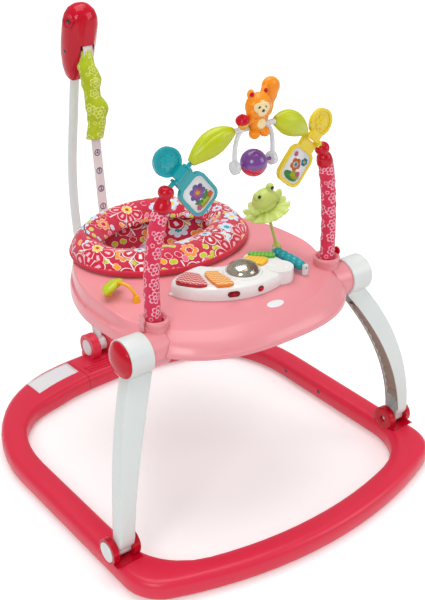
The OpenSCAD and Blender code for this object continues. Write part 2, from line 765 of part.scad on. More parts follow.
// Forked bracket at the back of the tray that holds the strap's lower end and lets it out as the frame folds
module strap_anchor() {
    slot_t = 16;
    y0 = drum_y + tray_back + 1;
    y1 = strap_foot[1] + slot_t / 2 + 6;
    color([0.8, 0.08, 0.2])
        difference() {
            union() {
                translate([-24, y0, lip_z - 4])
                    cube([48, y1 - y0, 10]);
                translate([-24, y0 - 12, lip_z - 4])
                    cube([48, 14, 4 - gap]);
            }
            translate([-strap_w / 2 - gap, strap_foot[1] - slot_t / 2, lip_z - 20])
                cube([strap_w + 2 * gap, 2 * slot_t, 40]);
        }
}

// Console: a crescent round the front of the seat
module console_frame() {
    translate([0, console_y, deck_z + gap])
        children();
}
// Sector between two radii and two angles, round the console's centre
module sector(r0, r1, a0, a1) {
    n = 24;
    translate([console_x, 0])
        polygon(concat(
            [for (i = [0 : n]) let (a = mix(a0, a1, i / n)) r1 * [cos(a), sin(a)]],
            [for (i = [n : -1 : 0]) let (a = mix(a0, a1, i / n)) r0 * [cos(a), sin(a)]]));
}
module console_plan(inset) {
    end = inset / console_r * 180 / PI;
    away = 8 + inset;
    difference() {
        sector(console_in + inset, console_r - inset, console_from + end, console_to - end);
        polygon([for (p = oval(pad_w / 2 + away, pad_l / 2 + away, seat_y - console_y, 0)) [p[0], p[1]]]);
        translate([console_x + console_side - inset, -2 * console_r])
            square(2 * console_r);
    }
}
key_red = [104, 151, 204, 223];
key_orange = [90, 148, 225, 243];
key_yellow = [70, 108, 286, 304];
key_green = [70, 112, 306, 317];
module key_hole(k) {
    sector(k[0] - gap, k[1] + gap, k[2] - 0.3, k[3] + 0.3);
}
volume_a = 247;
mode_a = 267;
module front_hole(a, w, h, depth) {
    translate([console_x, 0, console_h / 2])
        rotate([0, 0, a])
            translate([console_r - depth, 0, 0])
                rotate([0, 90, 0])
                    linear_extrude(depth + 10) {
                        square([h, w - h], center = true);
                        for (s = [-1, 1])
                            translate([0, s * (w - h) / 2])
                                circle(h / 2);
                    }
}
module console_shell() {
    color([0.95, 0.95, 0.94])
        console_frame()
            difference() {
                union() {
                    linear_extrude(console_h - 3)
                        console_plan(0);
                    translate([0, 0, console_h - 3])
                        linear_extrude(3)
                            console_plan(2);
                }
                translate([0, 0, -1])
                    linear_extrude(console_h - 2)
                        console_plan(3);
                translate([0, 0, console_h - 4])
                    linear_extrude(10) {
                        key_hole(key_red);
                        key_hole(key_orange);
                        key_hole(key_yellow);
                        key_hole(key_green);
                    }
                translate([console_x + dome_at[0], dome_at[1], console_h - 4])
                    cylinder(r = dome_r + gap, h = 10);
                front_hole(volume_a, 24, 8, 6);
                front_hole(mode_a, 8 + 2 * gap, 8 + 2 * gap - eps, 6);
                translate([console_x + drum_at[0], drum_at[1], -1])
                    cylinder(r = speaker_r + gap, h = 60);
            }
}
// Floor plate of the console, with a battery door's screw bosses
module console_floor() {
    color([0.88, 0.88, 0.87])
        console_frame()
            difference() {
                linear_extrude(3)
                    console_plan(3 + gap);
                translate([console_x + drum_at[0], drum_at[1], -1])
                    cylinder(r = speaker_r + gap, h = 60);
            }
}
// Half-mirrored dome with its collar in the console's top
module mirror_dome() {
    color([0.62, 0.58, 0.5, 0.8])
        console_frame()
            translate([console_x + dome_at[0], dome_at[1], console_h - 4]) {
                cylinder(r = dome_r, h = 5);
                intersection() {
                    translate([0, 0, 5])
                        cylinder(r = dome_r - 2, h = 40);
                    translate([0, 0, 5 - dome_r * 0.75])
                        sphere(dome_r * 1.25);
                }
                cylinder(r = 6, h = 5);
            }
}
// Ridged drum of the speaker at the console's right end
module speaker_drum() {
    color([0.94, 0.94, 0.93])
        console_frame()
            translate([console_x + drum_at[0], drum_at[1], 0]) {
                cylinder(r = speaker_r, h = console_h + 1);
                for (i = [0 : 4])
                    translate([0, 0, 4 + 5 * i])
                        rotate_extrude()
                            translate([speaker_r - 1, 0])
                                circle(1.2, $fn = 16);
            }
}
module key(k, c) {
    color(c)
        console_frame()
            translate([0, 0, console_h - 3.5]) {
                linear_extrude(3.5 + key_travel)
                    sector(k[0], k[1], k[2], k[3]);
                translate([0, 0, 3.5 + key_travel])
                    linear_extrude(0.8)
                        for (i = [0 : 3])
                            let (r = mix(k[0], k[1], 0.15 + 0.22 * i))
                            sector(r, r + 4, k[2] + 1.5, k[3] - 1.5);
            }
}
module red_key() {
    key(key_red, [0.8, 0.1, 0.15]);
}
module orange_key() {
    key(key_orange, [0.96, 0.6, 0.12]);
}
module yellow_key() {
    key(key_yellow, [0.95, 0.75, 0.1]);
}
module green_key() {
    key(key_green, [0.35, 0.72, 0.2]);
}
module volume_slider() {
    color([0.85, 0.12, 0.18])
        console_frame()
            translate([console_x, 0, console_h / 2])
                rotate([0, 0, volume_a])
                    translate([console_r - 2.8, 0, 0])
                        rotate([0, 90, 0])
                            cylinder(r = 4 - gap, h = 4.5);
}
module mode_button() {
    color([0.85, 0.12, 0.18])
        console_frame()
            translate([console_x, 0, console_h / 2])
                rotate([0, 0, mode_a])
                    translate([console_r - 2.8, 0, 0])
                        rotate([0, 90, 0])
                            cylinder(r = 4, h = 5.5);
}

// Toy arch: bowed arms in fabric sleeves, red finials, flip toys, leaves and an animal in the middle
function arm_line(t) = bend(
    [socket_x, socket_y, socket_z - 29],
    [socket_x + 12, arch_y + 8, mix(socket_z, collar_z, 0.55)],
    [finial_x, arch_y, collar_z + 6], t);
arm_points = [for (i = [0 : 10]) arm_line(0.965 * i / 10)];
module toy_arms() {
    color([0.9, 0.9, 0.9])
        for (s = [0, 1])
            mirror([s, 0, 0])
                skin([for (i = [0 : 10])
                    ring_at(arm_points[i], along(arm_points, i), arm_r, arm_r, [1, 0, 0], 12)]);
}
// Gathered sleeve round an arm, with soft folds
sleeve_points = [for (i = [0 : 20]) arm_line(mix(0.06, 0.945, i / 20))];
function fold(i, amount) = 1 - amount * (0.5 + 0.5 * cos(120 * i)) - amount * 0.6 * (i % 2);
module sleeve() {
    n = 10;
    m = len(sleeve_points) - 1;
    bore = (arm_r + gap) / cos(180 / n);
    outer = [for (i = [0 : m]) let (rx = sleeve_arm_r * fold(i, 0.06), ry = sleeve_arm_r * fold(i + 1, 0.06))
        ring_at(sleeve_points[i], along(sleeve_points, i), rx, ry, [1, 0, 0], n)];
    inner = [for (i = [0 : m]) ring_at(sleeve_points[i], along(sleeve_points, i), bore, bore, [1, 0, 0], n)];
    color([0.83, 0.12, 0.26])
        skin(concat(outer, reverse(inner)), loop = true);
}
module left_sleeve() {
    mirror([1, 0, 0])
        sleeve();
}
module right_sleeve() {
    sleeve();
}
// Red ends of the arms that carry the flip toys
module arm_finials() {
    color([0.78, 0.06, 0.18])
        for (s = [0, 1])
            mirror([s, 0, 0])
                translate([finial_x, arch_y, collar_z + 2]) {
                    cylinder(r1 = 14, r2 = 12, h = 16);
                    translate([0, 0, 16])
                        cylinder(r = 9, h = 8);
                    translate([0, 0, finial_z - collar_z - 2])
                        sphere(finial_r);
                }
}
// Thumb latch beside each socket
module arm_latch() {
    color([0.82, 0.1, 0.2])
        translate([latch_x, socket_y + 6, latch_z]) {
            rotate([90, 0, 0])
                cylinder(r = latch_r, h = 12);
            translate([-1, -12, 0])
                cube([2, 12, 18]);
            translate([-1.5, -6, 20])
                rotate([0, 90, 0])
                    cylinder(r = 8, h = 3);
        }
}
module left_arm_latch() {
    mirror([1, 0, 0])
        arm_latch();
}
module right_arm_latch() {
    arm_latch();
}
// Flip toy, right side: its own frame has +Z from the picture panel to the lid, hinge on the X axis
module flip_frame_place() {
    translate([flip_x, arch_y, flip_z])
        rotate([0, flip_lean, 0])
            children();
}
panel_drop = 58;
lid_rise = 33;
lug_in = 14;
lug_t = 4.5;
flip_pin_r = 2;
module flip_frame(c) {
    color(c)
        difference() {
            flip_frame_place()
                union() {
                    translate([0, 0, -panel_drop])
                        round_plate(panel_w, panel_l, 18, flip_t);
                    translate([0, 0, -18])
                        round_plate(2 * (lug_in + lug_t), 26, 2, flip_t);
                    for (s = [-1, 1])
                        translate([s * (lug_in + lug_t / 2), flip_axis / 2, -2])
                            cube([lug_t, -flip_axis + 8, 12], center = true);
                    bar_x(-lug_reach, -lug_in - 1, 4, -5, 0);
                    bar_x(lug_in + 1, 44, 4, -2, 0);
                }
            flip_frame_place() {
                translate([0, -flip_t / 2, -panel_drop])
                    round_plate(panel_w - 10, panel_l - 10, 14, 2);
                bar_x(-lug_in - lug_t + 1, lug_in + lug_t - 1, flip_pin_r + run_gap, flip_axis, 0);
            }
            translate([finial_x, arch_y, finial_z])
                sphere(finial_r + gap);
        }
}
module flip_lid(c, tilt) {
    color(c)
        flip_frame_place()
            translate([0, flip_axis, 0])
                rotate([-tilt, 0, 0])
                    translate([0, -flip_axis, 0]) {
                        difference() {
                            translate([0, flip_t / 2, lid_rise])
                                rotate([90, 0, 0])
                                    cylinder(r = lid_r, h = flip_t);
                            translate([0, 2 - flip_t / 2, lid_rise])
                                rotate([90, 0, 0])
                                    cylinder(r = lid_r - 5, h = flip_t);
                        }
                        translate([-lug_in + 2, flip_axis - 3, 0])
                            cube([2 * lug_in - 4, 10, 14]);
                        bar_x(-lug_in + 0.6, lug_in - 0.6, 4, flip_axis, 0);
                        bar_x(-lug_in - lug_t + 1.5, lug_in + lug_t - 1.5, flip_pin_r, flip_axis, 0);
                    }
}
module teal_flip_frame() {
    mirror([1, 0, 0])
        flip_frame([0, 0.62, 0.66]);
}
module teal_flip_lid() {
    mirror([1, 0, 0])
        flip_lid([0, 0.62, 0.66], 12);
}
module yellow_flip_frame() {
    flip_frame([0.93, 0.8, 0.08]);
}
module yellow_flip_lid() {
    flip_lid([0.93, 0.8, 0.08], 0);
}
// Two fat leaves that bridge from the flip toys to the middle
leaf_line = [for (i = [0 : 12]) bend(leaf_out, mix(leaf_out, leaf_in, 0.5) + [0, 0, 14], leaf_in, i / 12)];
module arch_leaves() {
    color([0.78, 0.83, 0.08])
        for (s = [0, 1])
            mirror([s, 0, 0])
                skin([for (i = [0 : 12]) let (t = i / 12, w = 6 + 15 * sin(180 * t))
                    ring_at(leaf_line[i], along(leaf_line, i), w * 0.75, w, [0, 1, 0], 12)]);
}
// Ball at a place given from the middle of the arch
module lump(p, r) {
    translate([p[0], mid_y + p[1], mid_z + p[2]])
        sphere(r);
}
// Sitting animal with a bushy tail and a nut, in the middle of the arch
module squirrel() {
    color([0.95, 0.55, 0.1]) {
        lump([2, -2, 10], 19);
        lump([3, -6, 36], 25);
        lump([-14, -8, 58], 8);
        lump([19, -2, 60], 8);
        lump([-8, -9, -9], 9);
        lump([14, -9, -9], 9);
        lump([22, 8, 14], 14);
        lump([34, 10, 34], 15);
        lump([42, 10, 54], 16);
        lump([-18, -8, 14], 9);
        lump([-35, -10, 18], 12);
    }
}
// White hoop that carries the animal: its ends sit in the leaves, its hubs hold the spinner ball
loop_half = 38;
module ball_loop() {
    line = [for (i = [0 : 8])
        bend([26, mid_y, mid_z], [loop_half + 8, mid_y, mid_z - 14], [loop_half + 3, mid_y, ball_z], i / 8)];
    color([0.94, 0.94, 0.95])
        for (s = [0, 1])
            mirror([s, 0, 0])
                difference() {
                    union() {
                        skin([for (i = [0 : 8]) ring_at(line[i], along(line, i), 4, 4, [0, 1, 0], 12)]);
                        bar_x(14, leaf_in[0] - gap, 5, mid_y, mid_z);
                        bar_x(loop_half - 1, loop_half + 7, 12, mid_y, ball_z);
                    }
                    bar_x(loop_half - 5, loop_half + 4, 3 + run_gap, mid_y, ball_z);
                }
}
module spinner_ball() {
    color([0.5, 0.28, 0.6])
        union() {
            translate([0, mid_y, ball_z])
                sphere(ball_r);
            bar_x(-loop_half - 3, loop_half + 3, 3, mid_y, ball_z);
        }
}

// Small toys on the deck
bead_mid = (bead_a + bead_b) / 2;
bead_span = norm(bead_b - bead_a);
bead_turn = atan2(bead_b[1] - bead_a[1], bead_b[0] - bead_a[0]);
bead_z = deck_z + gap;
bead_arc_r = (bead_span * bead_span / 4 + bead_rise * bead_rise) / (2 * bead_rise);
module bead_place() {
    translate([bead_mid[0], bead_mid[1], bead_z])
        rotate([0, 0, bead_turn])
            children();
}
// Wire arch on two clear feet
module bead_arch() {
    half = asin(bead_span / 2 / bead_arc_r);
    color([0.96, 0.7, 0.1])
        bead_place() {
            translate([0, 0, bead_rise - bead_arc_r + 8])
                rotate([90, 0, 0])
                    rotate([0, 0, 90 - half])
                        rotate_extrude(angle = 2 * half)
                            translate([bead_arc_r, 0])
                                circle(3);
            for (s = [0, 1])
                translate([(s - 0.5) * bead_span, 0, 0])
                    cylinder(r1 = bead_foot_r, r2 = bead_foot_r - 3, h = 11);
        }
}
bead_at = -46;
module leaf_bead() {
    color([0.75, 0.85, 0.05])
        bead_place()
            translate([0, 0, bead_rise - bead_arc_r + 8])
                rotate([0, bead_at, 0])
                    translate([0, 0, bead_arc_r])
                        difference() {
                            rotate([0, 90, 0])
                                cylinder(r1 = 9, r2 = 11, h = 16, center = true);
                            rotate([90, 0, 0])
                                translate([0, -bead_arc_r, 0])
                                    rotate([0, 0, 60])
                                        rotate_extrude(angle = 60)
                                            translate([bead_arc_r, 0])
                                                circle(3 + run_gap);
                        }
}
// Roller toy with round segments on an axle between two posts
roller_z = deck_z + 15;
module roller_stand() {
    color([0.9, 0.9, 0.9])
        for (s = [-1, 1])
            translate([roller_x, roller_y + s * (roller_l / 2 + 4), 0])
                difference() {
                    translate([-5, -3, deck_z + gap])
                        cube([10, 6, roller_z + 6 - deck_z - gap]);
                    translate([0, 10, roller_z])
                        rotate([90, 0, 0])
                            cylinder(r = 2.5 + run_gap, h = 20);
                }
}
module roller() {
    color([0, 0.55, 0.6]) {
        translate([roller_x, roller_y + roller_l / 2 + 6, roller_z])
            rotate([90, 0, 0])
                cylinder(r = 2.5, h = roller_l + 12);
        for (i = [0 : 4])
            translate([roller_x, roller_y + (i - 2) * roller_l / 5.4, roller_z])
                sphere(i == 0 ? 10 : 11.5);
    }
}
// Clear frog on a bendy stalk with a scalloped leaf under it
module frog_toy() {
    color([0.75, 0.9, 0.5, 0.7])
        translate([frog_x, frog_y, deck_z + gap + frog_foot]) {
            sphere(frog_foot);
            rotate([0, -frog_lean, 0]) {
                cylinder(r = 3.5, h = stalk_l + 1);
                translate([0, 0, stalk_l]) {
                    cylinder(r = 40, h = 3);
                    for (i = [0 : 11])
                        rotate([0, 0, 30 * i])
                            translate([40, 0, 0])
                                cylinder(r = 8, h = 3);
                    translate([0, 0, 22])
                        sphere(24);
                    for (s = [-1, 1])
                        translate([s * 15, -8, 44])
                            sphere(9);
                    for (s = [-1, 1])
                        translate([s * 26, -6, 10])
                            sphere(12);
                }
            }
        }
}

// Rear post: straight, bowed and straight again, in the plane X = 0
post_end = arc_end + (post_neck + head_l * 0.48) * [-sin(post_tip_lean), cos(post_tip_lean)];
post_line = [
    for (p = concat(
        [[0, 0]],
        [for (i = [0 : 10]) let (a = mix(-post_lean, post_tip_lean, i / 10))
            arc_mid + post_bow_r * [cos(a), sin(a)]],
        [post_end]))
    [0, post_y + p[0], post_z + p[1]]];
module post_tube() {
    color([0.93, 0.92, 0.92])
        difference() {
            union() {
                skin([for (i = [0 : len(post_line) - 1])
                    ring_at(post_line[i], along(post_line, i), post_d / 2, post_d / 2, [1, 0, 0], 20)]);
                bar_x(-post_knuckle_w / 2, post_knuckle_w / 2, post_knuckle_r, post_y, post_z);
            }
            bar_x(-post_d - 10, post_d + 10, pin_r + run_gap, post_y, post_z);
        }
}
// Head: two halves of a long capsule, split down the middle and closed round the post's end
head_profile = [
    [0, 0.5], [0.04, 0.63], [0.16, 0.82], [0.34, 0.96], [0.5, 1], [0.76, 1], [0.85, 0.92],
    [0.92, 0.76], [0.97, 0.5], [1, 0.16]];
function head_ring(p, wall) = [for (i = [0 : 23]) let (a = 360 * i / 24)
    [(head_w / 2 * p[1] - wall) * power(cos(a), 0.8), (head_d / 2 * p[1] - wall) * power(sin(a), 0.8),
        p[0] * head_l + wall * (1 - 2 * p[0])]];
module head_shells() {
    wall = 3;
    mouth_w = 52;
    mouth_h = 60;
    slot_w = 28;
    hanger_z = 81.4;
    color([0.76, 0.03, 0.16])
        translate([0, head_y, head_z])
            rotate([head_lean, 0, 0])
                for (s = [-1, 1])
                    intersection() {
                        difference() {
                            union() {
                                skin([for (p = head_profile) head_ring(p, 0)]);
                                translate([-13, -37, hanger_z])
                                    cube([26, 36, 6]);
                            }
                            difference() {
                                skin([for (p = head_profile) head_ring(p, wall)]);
                                translate([-13, -37, hanger_z])
                                    cube([26, 36, 6]);
                            }
                            rotate([-head_lean, 0, 0])
                                translate([0, head_shift, 0])
                                    rotate([post_tip_lean, 0, 0])
                                        translate([0, 0, -8])
                                            cylinder(d = post_d + 2 * gap, h = head_l * 0.5 + 8);
                            translate([-mouth_w / 2, -head_d, -10])
                                cube([mouth_w, head_d - 12, mouth_h + 10]);
                            translate([-slot_w / 2, -head_d, 0])
                                cube([slot_w, head_d - 12, hanger_z]);
                        }
                        translate([s > 0 ? gap / 2 : -head_w, -head_d, -10])
                            cube([head_w - gap / 2, 2 * head_d, head_l + 20]);
                    }
}
// Strap frame: origin at the strap's foot in the anchor, Z up along the strap
module strap_place() {
    translate(strap_foot)
        rotate([-strap_lean, 0, 0])
            children();
}
// Webbing from below the anchor up into the sleeve
module strap() {
    color([0.95, 0.93, 0.93])
        strap_place()
            translate([-strap_w / 2, -strap_t / 2, -strap_tail])
                cube([strap_w, strap_t, strap_tail + strap_run - sleeve_l + strap_tuck]);
}
// Steel spring inside the sleeve, between the head and the top of the strap
module bounce_spring() {
    color([0.55, 0.55, 0.57])
        strap_place()
            translate([0, 0, strap_run - sleeve_l + strap_tuck + gap])
                difference() {
                    cylinder(r = spring_r, h = sleeve_l - strap_tuck - gap);
                    translate([0, 0, -1])
                        cylinder(r = spring_r - 3, h = sleeve_l);
                }
}
// Gathered sleeve over the spring: puffs that swing from side to side
function puff(t) = 0.82 + 0.18 * sin(360 * sleeve_puffs * t);
function sleeve_neck(t) = mix(0.5, 1, ease((1 - t) / 0.2)) * mix(0.75, 1, ease(t / 0.08));
function sleeve_sway(t) = 7 * exp(-pow((t - 0.27) / 0.15, 2)) + 3 * exp(-pow((t - 0.68) / 0.1, 2));
function sleeve_bore(t) = t < 0.12 ? strap_w / 2 + 1 : spring_r + gap;
function sleeve_z(t) = strap_run - 1.5 - (sleeve_l - 1.5) * (1 - t);
module strap_sleeve() {
    n = 14;
    up = [0, 0, 1];
    side = [1, 0, 0];
    outer = [for (i = [0 : sleeve_rings])
        let (
            t = i / sleeve_rings,
            r = sleeve_r * puff(t) * sleeve_neck(t),
            x = sleeve_sway(t),
            least = sleeve_bore(t) + 1.2)
        ring_at([x, 0, sleeve_z(t)], up, max(r, least + x), max(r * 0.85, least), side, n)];
    inner = [for (i = [0 : sleeve_rings]) let (t = i / sleeve_rings, r = sleeve_bore(t))
        ring_at([0, 0, sleeve_z(t)], up, r, r, side, n)];
    color([0.77, 0.82, 0.05])
        strap_place()
            skin(concat(outer, reverse(inner)), loop = true);
}

base_front_tube();
base_left_tube();
base_right_tube();
base_joiners();
base_screws();
floor_pads();
left_hinge_bracket();
right_hinge_bracket();
rear_hinge_bracket();
hinge_pins();
left_release_button();
right_release_button();
rear_release_button();
left_leg();
left_leg_liner();
left_leg_cap();
right_leg();
right_leg_liner();
right_leg_cap();
pivot_bushes();
tray_shell();
tray_shoulders();
seat_ring();
seat_pad();
seat_sling();
strap_anchor();
console_shell();
console_floor();
mirror_dome();
speaker_drum();
red_key();
orange_key();
yellow_key();
green_key();
volume_slider();
mode_button();
toy_arms();
left_sleeve();
right_sleeve();
arm_finials();
left_arm_latch();
right_arm_latch();
teal_flip_frame();
teal_flip_lid();
yellow_flip_frame();
yellow_flip_lid();
arch_leaves();
squirrel();
ball_loop();
spinner_ball();
bead_arch();
leaf_bead();
roller_stand();
roller();
frog_toy();
post_tube();
head_shells();
strap();
bounce_spring();
strap_sleeve();
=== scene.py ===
import math

import bmesh
import bpy
import numpy as np
from mathutils import Matrix, Vector
from mathutils.bvhtree import BVHTree


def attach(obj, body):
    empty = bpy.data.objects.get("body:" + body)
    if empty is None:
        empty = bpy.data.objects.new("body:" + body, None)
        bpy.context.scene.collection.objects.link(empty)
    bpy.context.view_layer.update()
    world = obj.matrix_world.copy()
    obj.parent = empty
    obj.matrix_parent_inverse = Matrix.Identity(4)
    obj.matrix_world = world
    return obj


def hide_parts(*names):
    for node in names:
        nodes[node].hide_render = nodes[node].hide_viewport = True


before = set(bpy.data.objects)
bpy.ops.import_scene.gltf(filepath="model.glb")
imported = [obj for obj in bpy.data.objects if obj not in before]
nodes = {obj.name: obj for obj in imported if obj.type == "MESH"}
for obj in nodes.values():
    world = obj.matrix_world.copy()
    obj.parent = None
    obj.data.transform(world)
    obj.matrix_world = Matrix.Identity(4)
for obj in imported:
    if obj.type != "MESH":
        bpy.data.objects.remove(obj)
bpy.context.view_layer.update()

# Looks of the baby jumper: materials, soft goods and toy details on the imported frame.
# Shapes are written in millimetres in the frame's own axes and stored in metres.

scene = bpy.context.scene
MM = 0.001

# Places shared with the solids, in millimetres
HINGE_Y, HINGE_Z, DRUM_Y, DRUM_Z = -259.25, 60, -192.25, 391
SEAT_Y, OPENING_Y = 91.75, 106.75
ARCH_Y, MID_Y, FLIP_Z, MID_Z = -182.25, -197.25, 695, 751
LIP_Z, DECK_Z, PAD_Z, COLLAR_Z = 385, 430, 433.6, 636
SOCKET_X, SOCKET_Y, SOCKET_Z = 202, -180.25, 437
ARM_TOP_X = 184
STRAP_FOOT, STRAP_TOP = (0, 301.75, 379), (0, 341.75, 768)
BALL_Z = 686
SIDES = ((-1, "left"), (1, "right"))
SLEEVE_R, SLEEVE_THICK = 14.3, 0.0012

# Camera at the photograph's viewing angle
camera = bpy.data.objects.new("camera", bpy.data.cameras.new("camera"))
scene.collection.objects.link(camera)
camera.location = (-1.1190, -1.54265, 1.3484)
camera.rotation_euler = (math.radians(90 - 28.009), 0, math.radians(-37.44))
camera.data.lens = 64.74
camera.data.sensor_width = 36
scene.camera = camera


# Colours and material nodes; threads and ribs are this far apart, in metres
THREAD, RIB = 0.0011, 0.0016
# The second colour is painted shade: the taupe of the shadowed ribs inside the legs' hollow channels
WHITE_RGB, HOLLOW_SHADE_RGB = (226, 231, 229), (152, 136, 122)
# Heights between which painted shade turns a leg's hollow side taupe and back to white, in metres
HOLLOW_SHADE_FOOT, HOLLOW_SHADE_TOP = (0.088, 0.09), (0.338, 0.336)


def linear(rgb, share=1.0):
    """Linear colour with alpha 1 of an sRGB colour given from 0 to 255, darkened to a share of itself."""
    c = [x / 255 for x in rgb]
    return tuple(share * (x / 12.92 if x <= 0.04045 else ((x + 0.055) / 1.055) ** 2.4) for x in c) + (1.0,)


class Graph:
    """A material and short calls for the nodes in it."""

    def __init__(self, name, **shader):
        self.mat = bpy.data.materials.new(name)
        self.mat.use_nodes = True
        self.tree = self.mat.node_tree
        self.bsdf = self.tree.nodes["Principled BSDF"]
        for key, value in shader.items():
            self.set(key.replace("_", " "), value)

    def put(self, socket, value):
        if isinstance(value, bpy.types.NodeSocket):
            self.tree.links.new(value, socket)
        else:
            socket.default_value = value

    def set(self, name, value):
        self.put(self.bsdf.inputs[name], value)

    def node(self, kind, ins, out=0, **props):
        n = self.tree.nodes.new("ShaderNode" + kind)
        for key, value in props.items():
            setattr(n, key, value)
        for key, value in ins.items():
            self.put(n.inputs[key], value)
        return n.outputs[out]

    def math(self, op, *values):
        return self.node("Math", dict(enumerate(values)), operation=op)

    def vec(self, op, *values):
        return self.node("VectorMath", dict(enumerate(values)), operation=op)

    def mix(self, share, a, b):
        return self.node("Mix", {0: share, 6: a, 7: b}, 2, data_type="RGBA")

    def ramp(self, x, low, high):
        """0 below low, 1 above high, smooth between."""
        return self.node("MapRange", {0: x, 1: low, 2: high}, interpolation_type="SMOOTHSTEP")

    def coords(self, name="Object"):
        return self.node("TexCoord", {}, name)

    def noise(self, where, scale, detail=3.0, rough=0.5):
        ins = {"Vector": where, "Scale": scale, "Detail": detail, "Roughness": rough}
        return self.node("TexNoise", ins, "Fac")

    def parts(self, vector):
        n = self.tree.nodes.new("ShaderNodeSeparateXYZ")
        self.put(n.inputs[0], vector)
        return n.outputs[0], n.outputs[1], n.outputs[2]

    def bump(self, height, distance, normal=None, strength=1.0):
        ins = {"Height": height, "Distance": distance, "Strength": strength}
        if normal is not None:
            ins["Normal"] = normal
        return self.node("Bump", ins)

    def apart(self, x, middle):
        return self.math("ABSOLUTE", self.math("SUBTRACT", x, middle))

    def cloudy(self, cloud, rgb, share):
        """A colour that drops to a share of itself where the cloud is thin."""
        return self.mix(cloud, linear(rgb, share), linear(rgb))

    def uneven(self, where, scale, detail, low, high):
        """Roughness that wanders between two values."""
        self.set("Roughness", self.node("MapRange", {0: self.noise(where, scale, detail), 3: low, 4: high}))

    def moulded(self, where, edge, grain):
        """Fine moulding grain over edges rounded by so many millimetres."""
        soft = self.node("Bevel", {"Radius": edge * MM}, samples=4)
        self.set("Normal", self.bump(self.noise(where, 900, 2), grain, soft, 0.6))


def plastic(name, rgb, rough=0.32, edge=0.8, coat=0.0, grain=0.00006, tint=0.05, **shader):
    """Moulded plastic: a faint cloudiness, fine moulding grain and softened edges."""
    g = Graph(name, Coat_Weight=coat, Coat_Roughness=0.08, **shader)
    at = g.coords()
    g.set("Base Color", g.cloudy(g.noise(at, 9, 2), rgb, 1 - 2.2 * tint))
    g.uneven(at, 35, 4, rough * 0.85, rough * 1.18)
    g.moulded(at, edge, grain)
    return g.mat


def weave(g, uv, pitch, depth, relief, deep):
    """Sets the bump of a plain weave with threads a pitch apart, over a larger relief."""
    u, v, _ = g.parts(uv)
    rows = [g.math("SINE", g.math("MULTIPLY", way, 2 * math.pi / pitch)) for way in (u, v)]
    g.set("Normal", g.bump(g.math("MULTIPLY", *rows), depth, g.bump(relief, deep), 0.5))


def flowers(g, where, cell, shift, petals, size, spread=0.6):
    """A scatter of flowers: returns the share of the way from a flower's middle to its petals' edge, a random
    number per flower, and the angle's cosine that shapes its petals."""
    p = g.vec("ADD", where, (shift, shift * 0.37, 0))
    n = g.tree.nodes.new("ShaderNodeTexVoronoi")
    n.voronoi_dimensions = "2D"
    n.inputs["Scale"].default_value = 1 / cell
    n.inputs["Randomness"].default_value = spread
    g.put(n.inputs["Vector"], p)
    pick = g.node("SeparateColor", {0: n.outputs["Color"]}, 0)
    x, y, _ = g.parts(g.vec("SUBTRACT", p, n.outputs["Position"]))
    r = g.math("SQRT", g.math("ADD", g.math("MULTIPLY", x, x), g.math("MULTIPLY", y, y)))
    turn = g.math("ADD", g.math("ARCTAN2", y, x), g.math("MULTIPLY", pick, 6.0))
    lobe = g.math("ABSOLUTE", g.math("COSINE", g.math("MULTIPLY", turn, petals / 2)))
    edge = g.math("MULTIPLY_ADD", g.math("POWER", lobe, 0.6), 0.42 * size, 0.58 * size)
    return g.math("DIVIDE", r, edge), pick, lobe


def pick_colour(g, number, colours):
    """One of several colours by a number from 0 to 1."""
    n = g.tree.nodes.new("ShaderNodeValToRGB")
    n.color_ramp.interpolation = "CONSTANT"
    while len(n.color_ramp.elements) < len(colours):
        n.color_ramp.elements.new(0.5)
    for i, (e, c) in enumerate(zip(n.color_ramp.elements, colours)):
        e.position = i / len(colours)
        e.color = linear(c)
    g.put(n.inputs[0], number)
    return n.outputs[0]


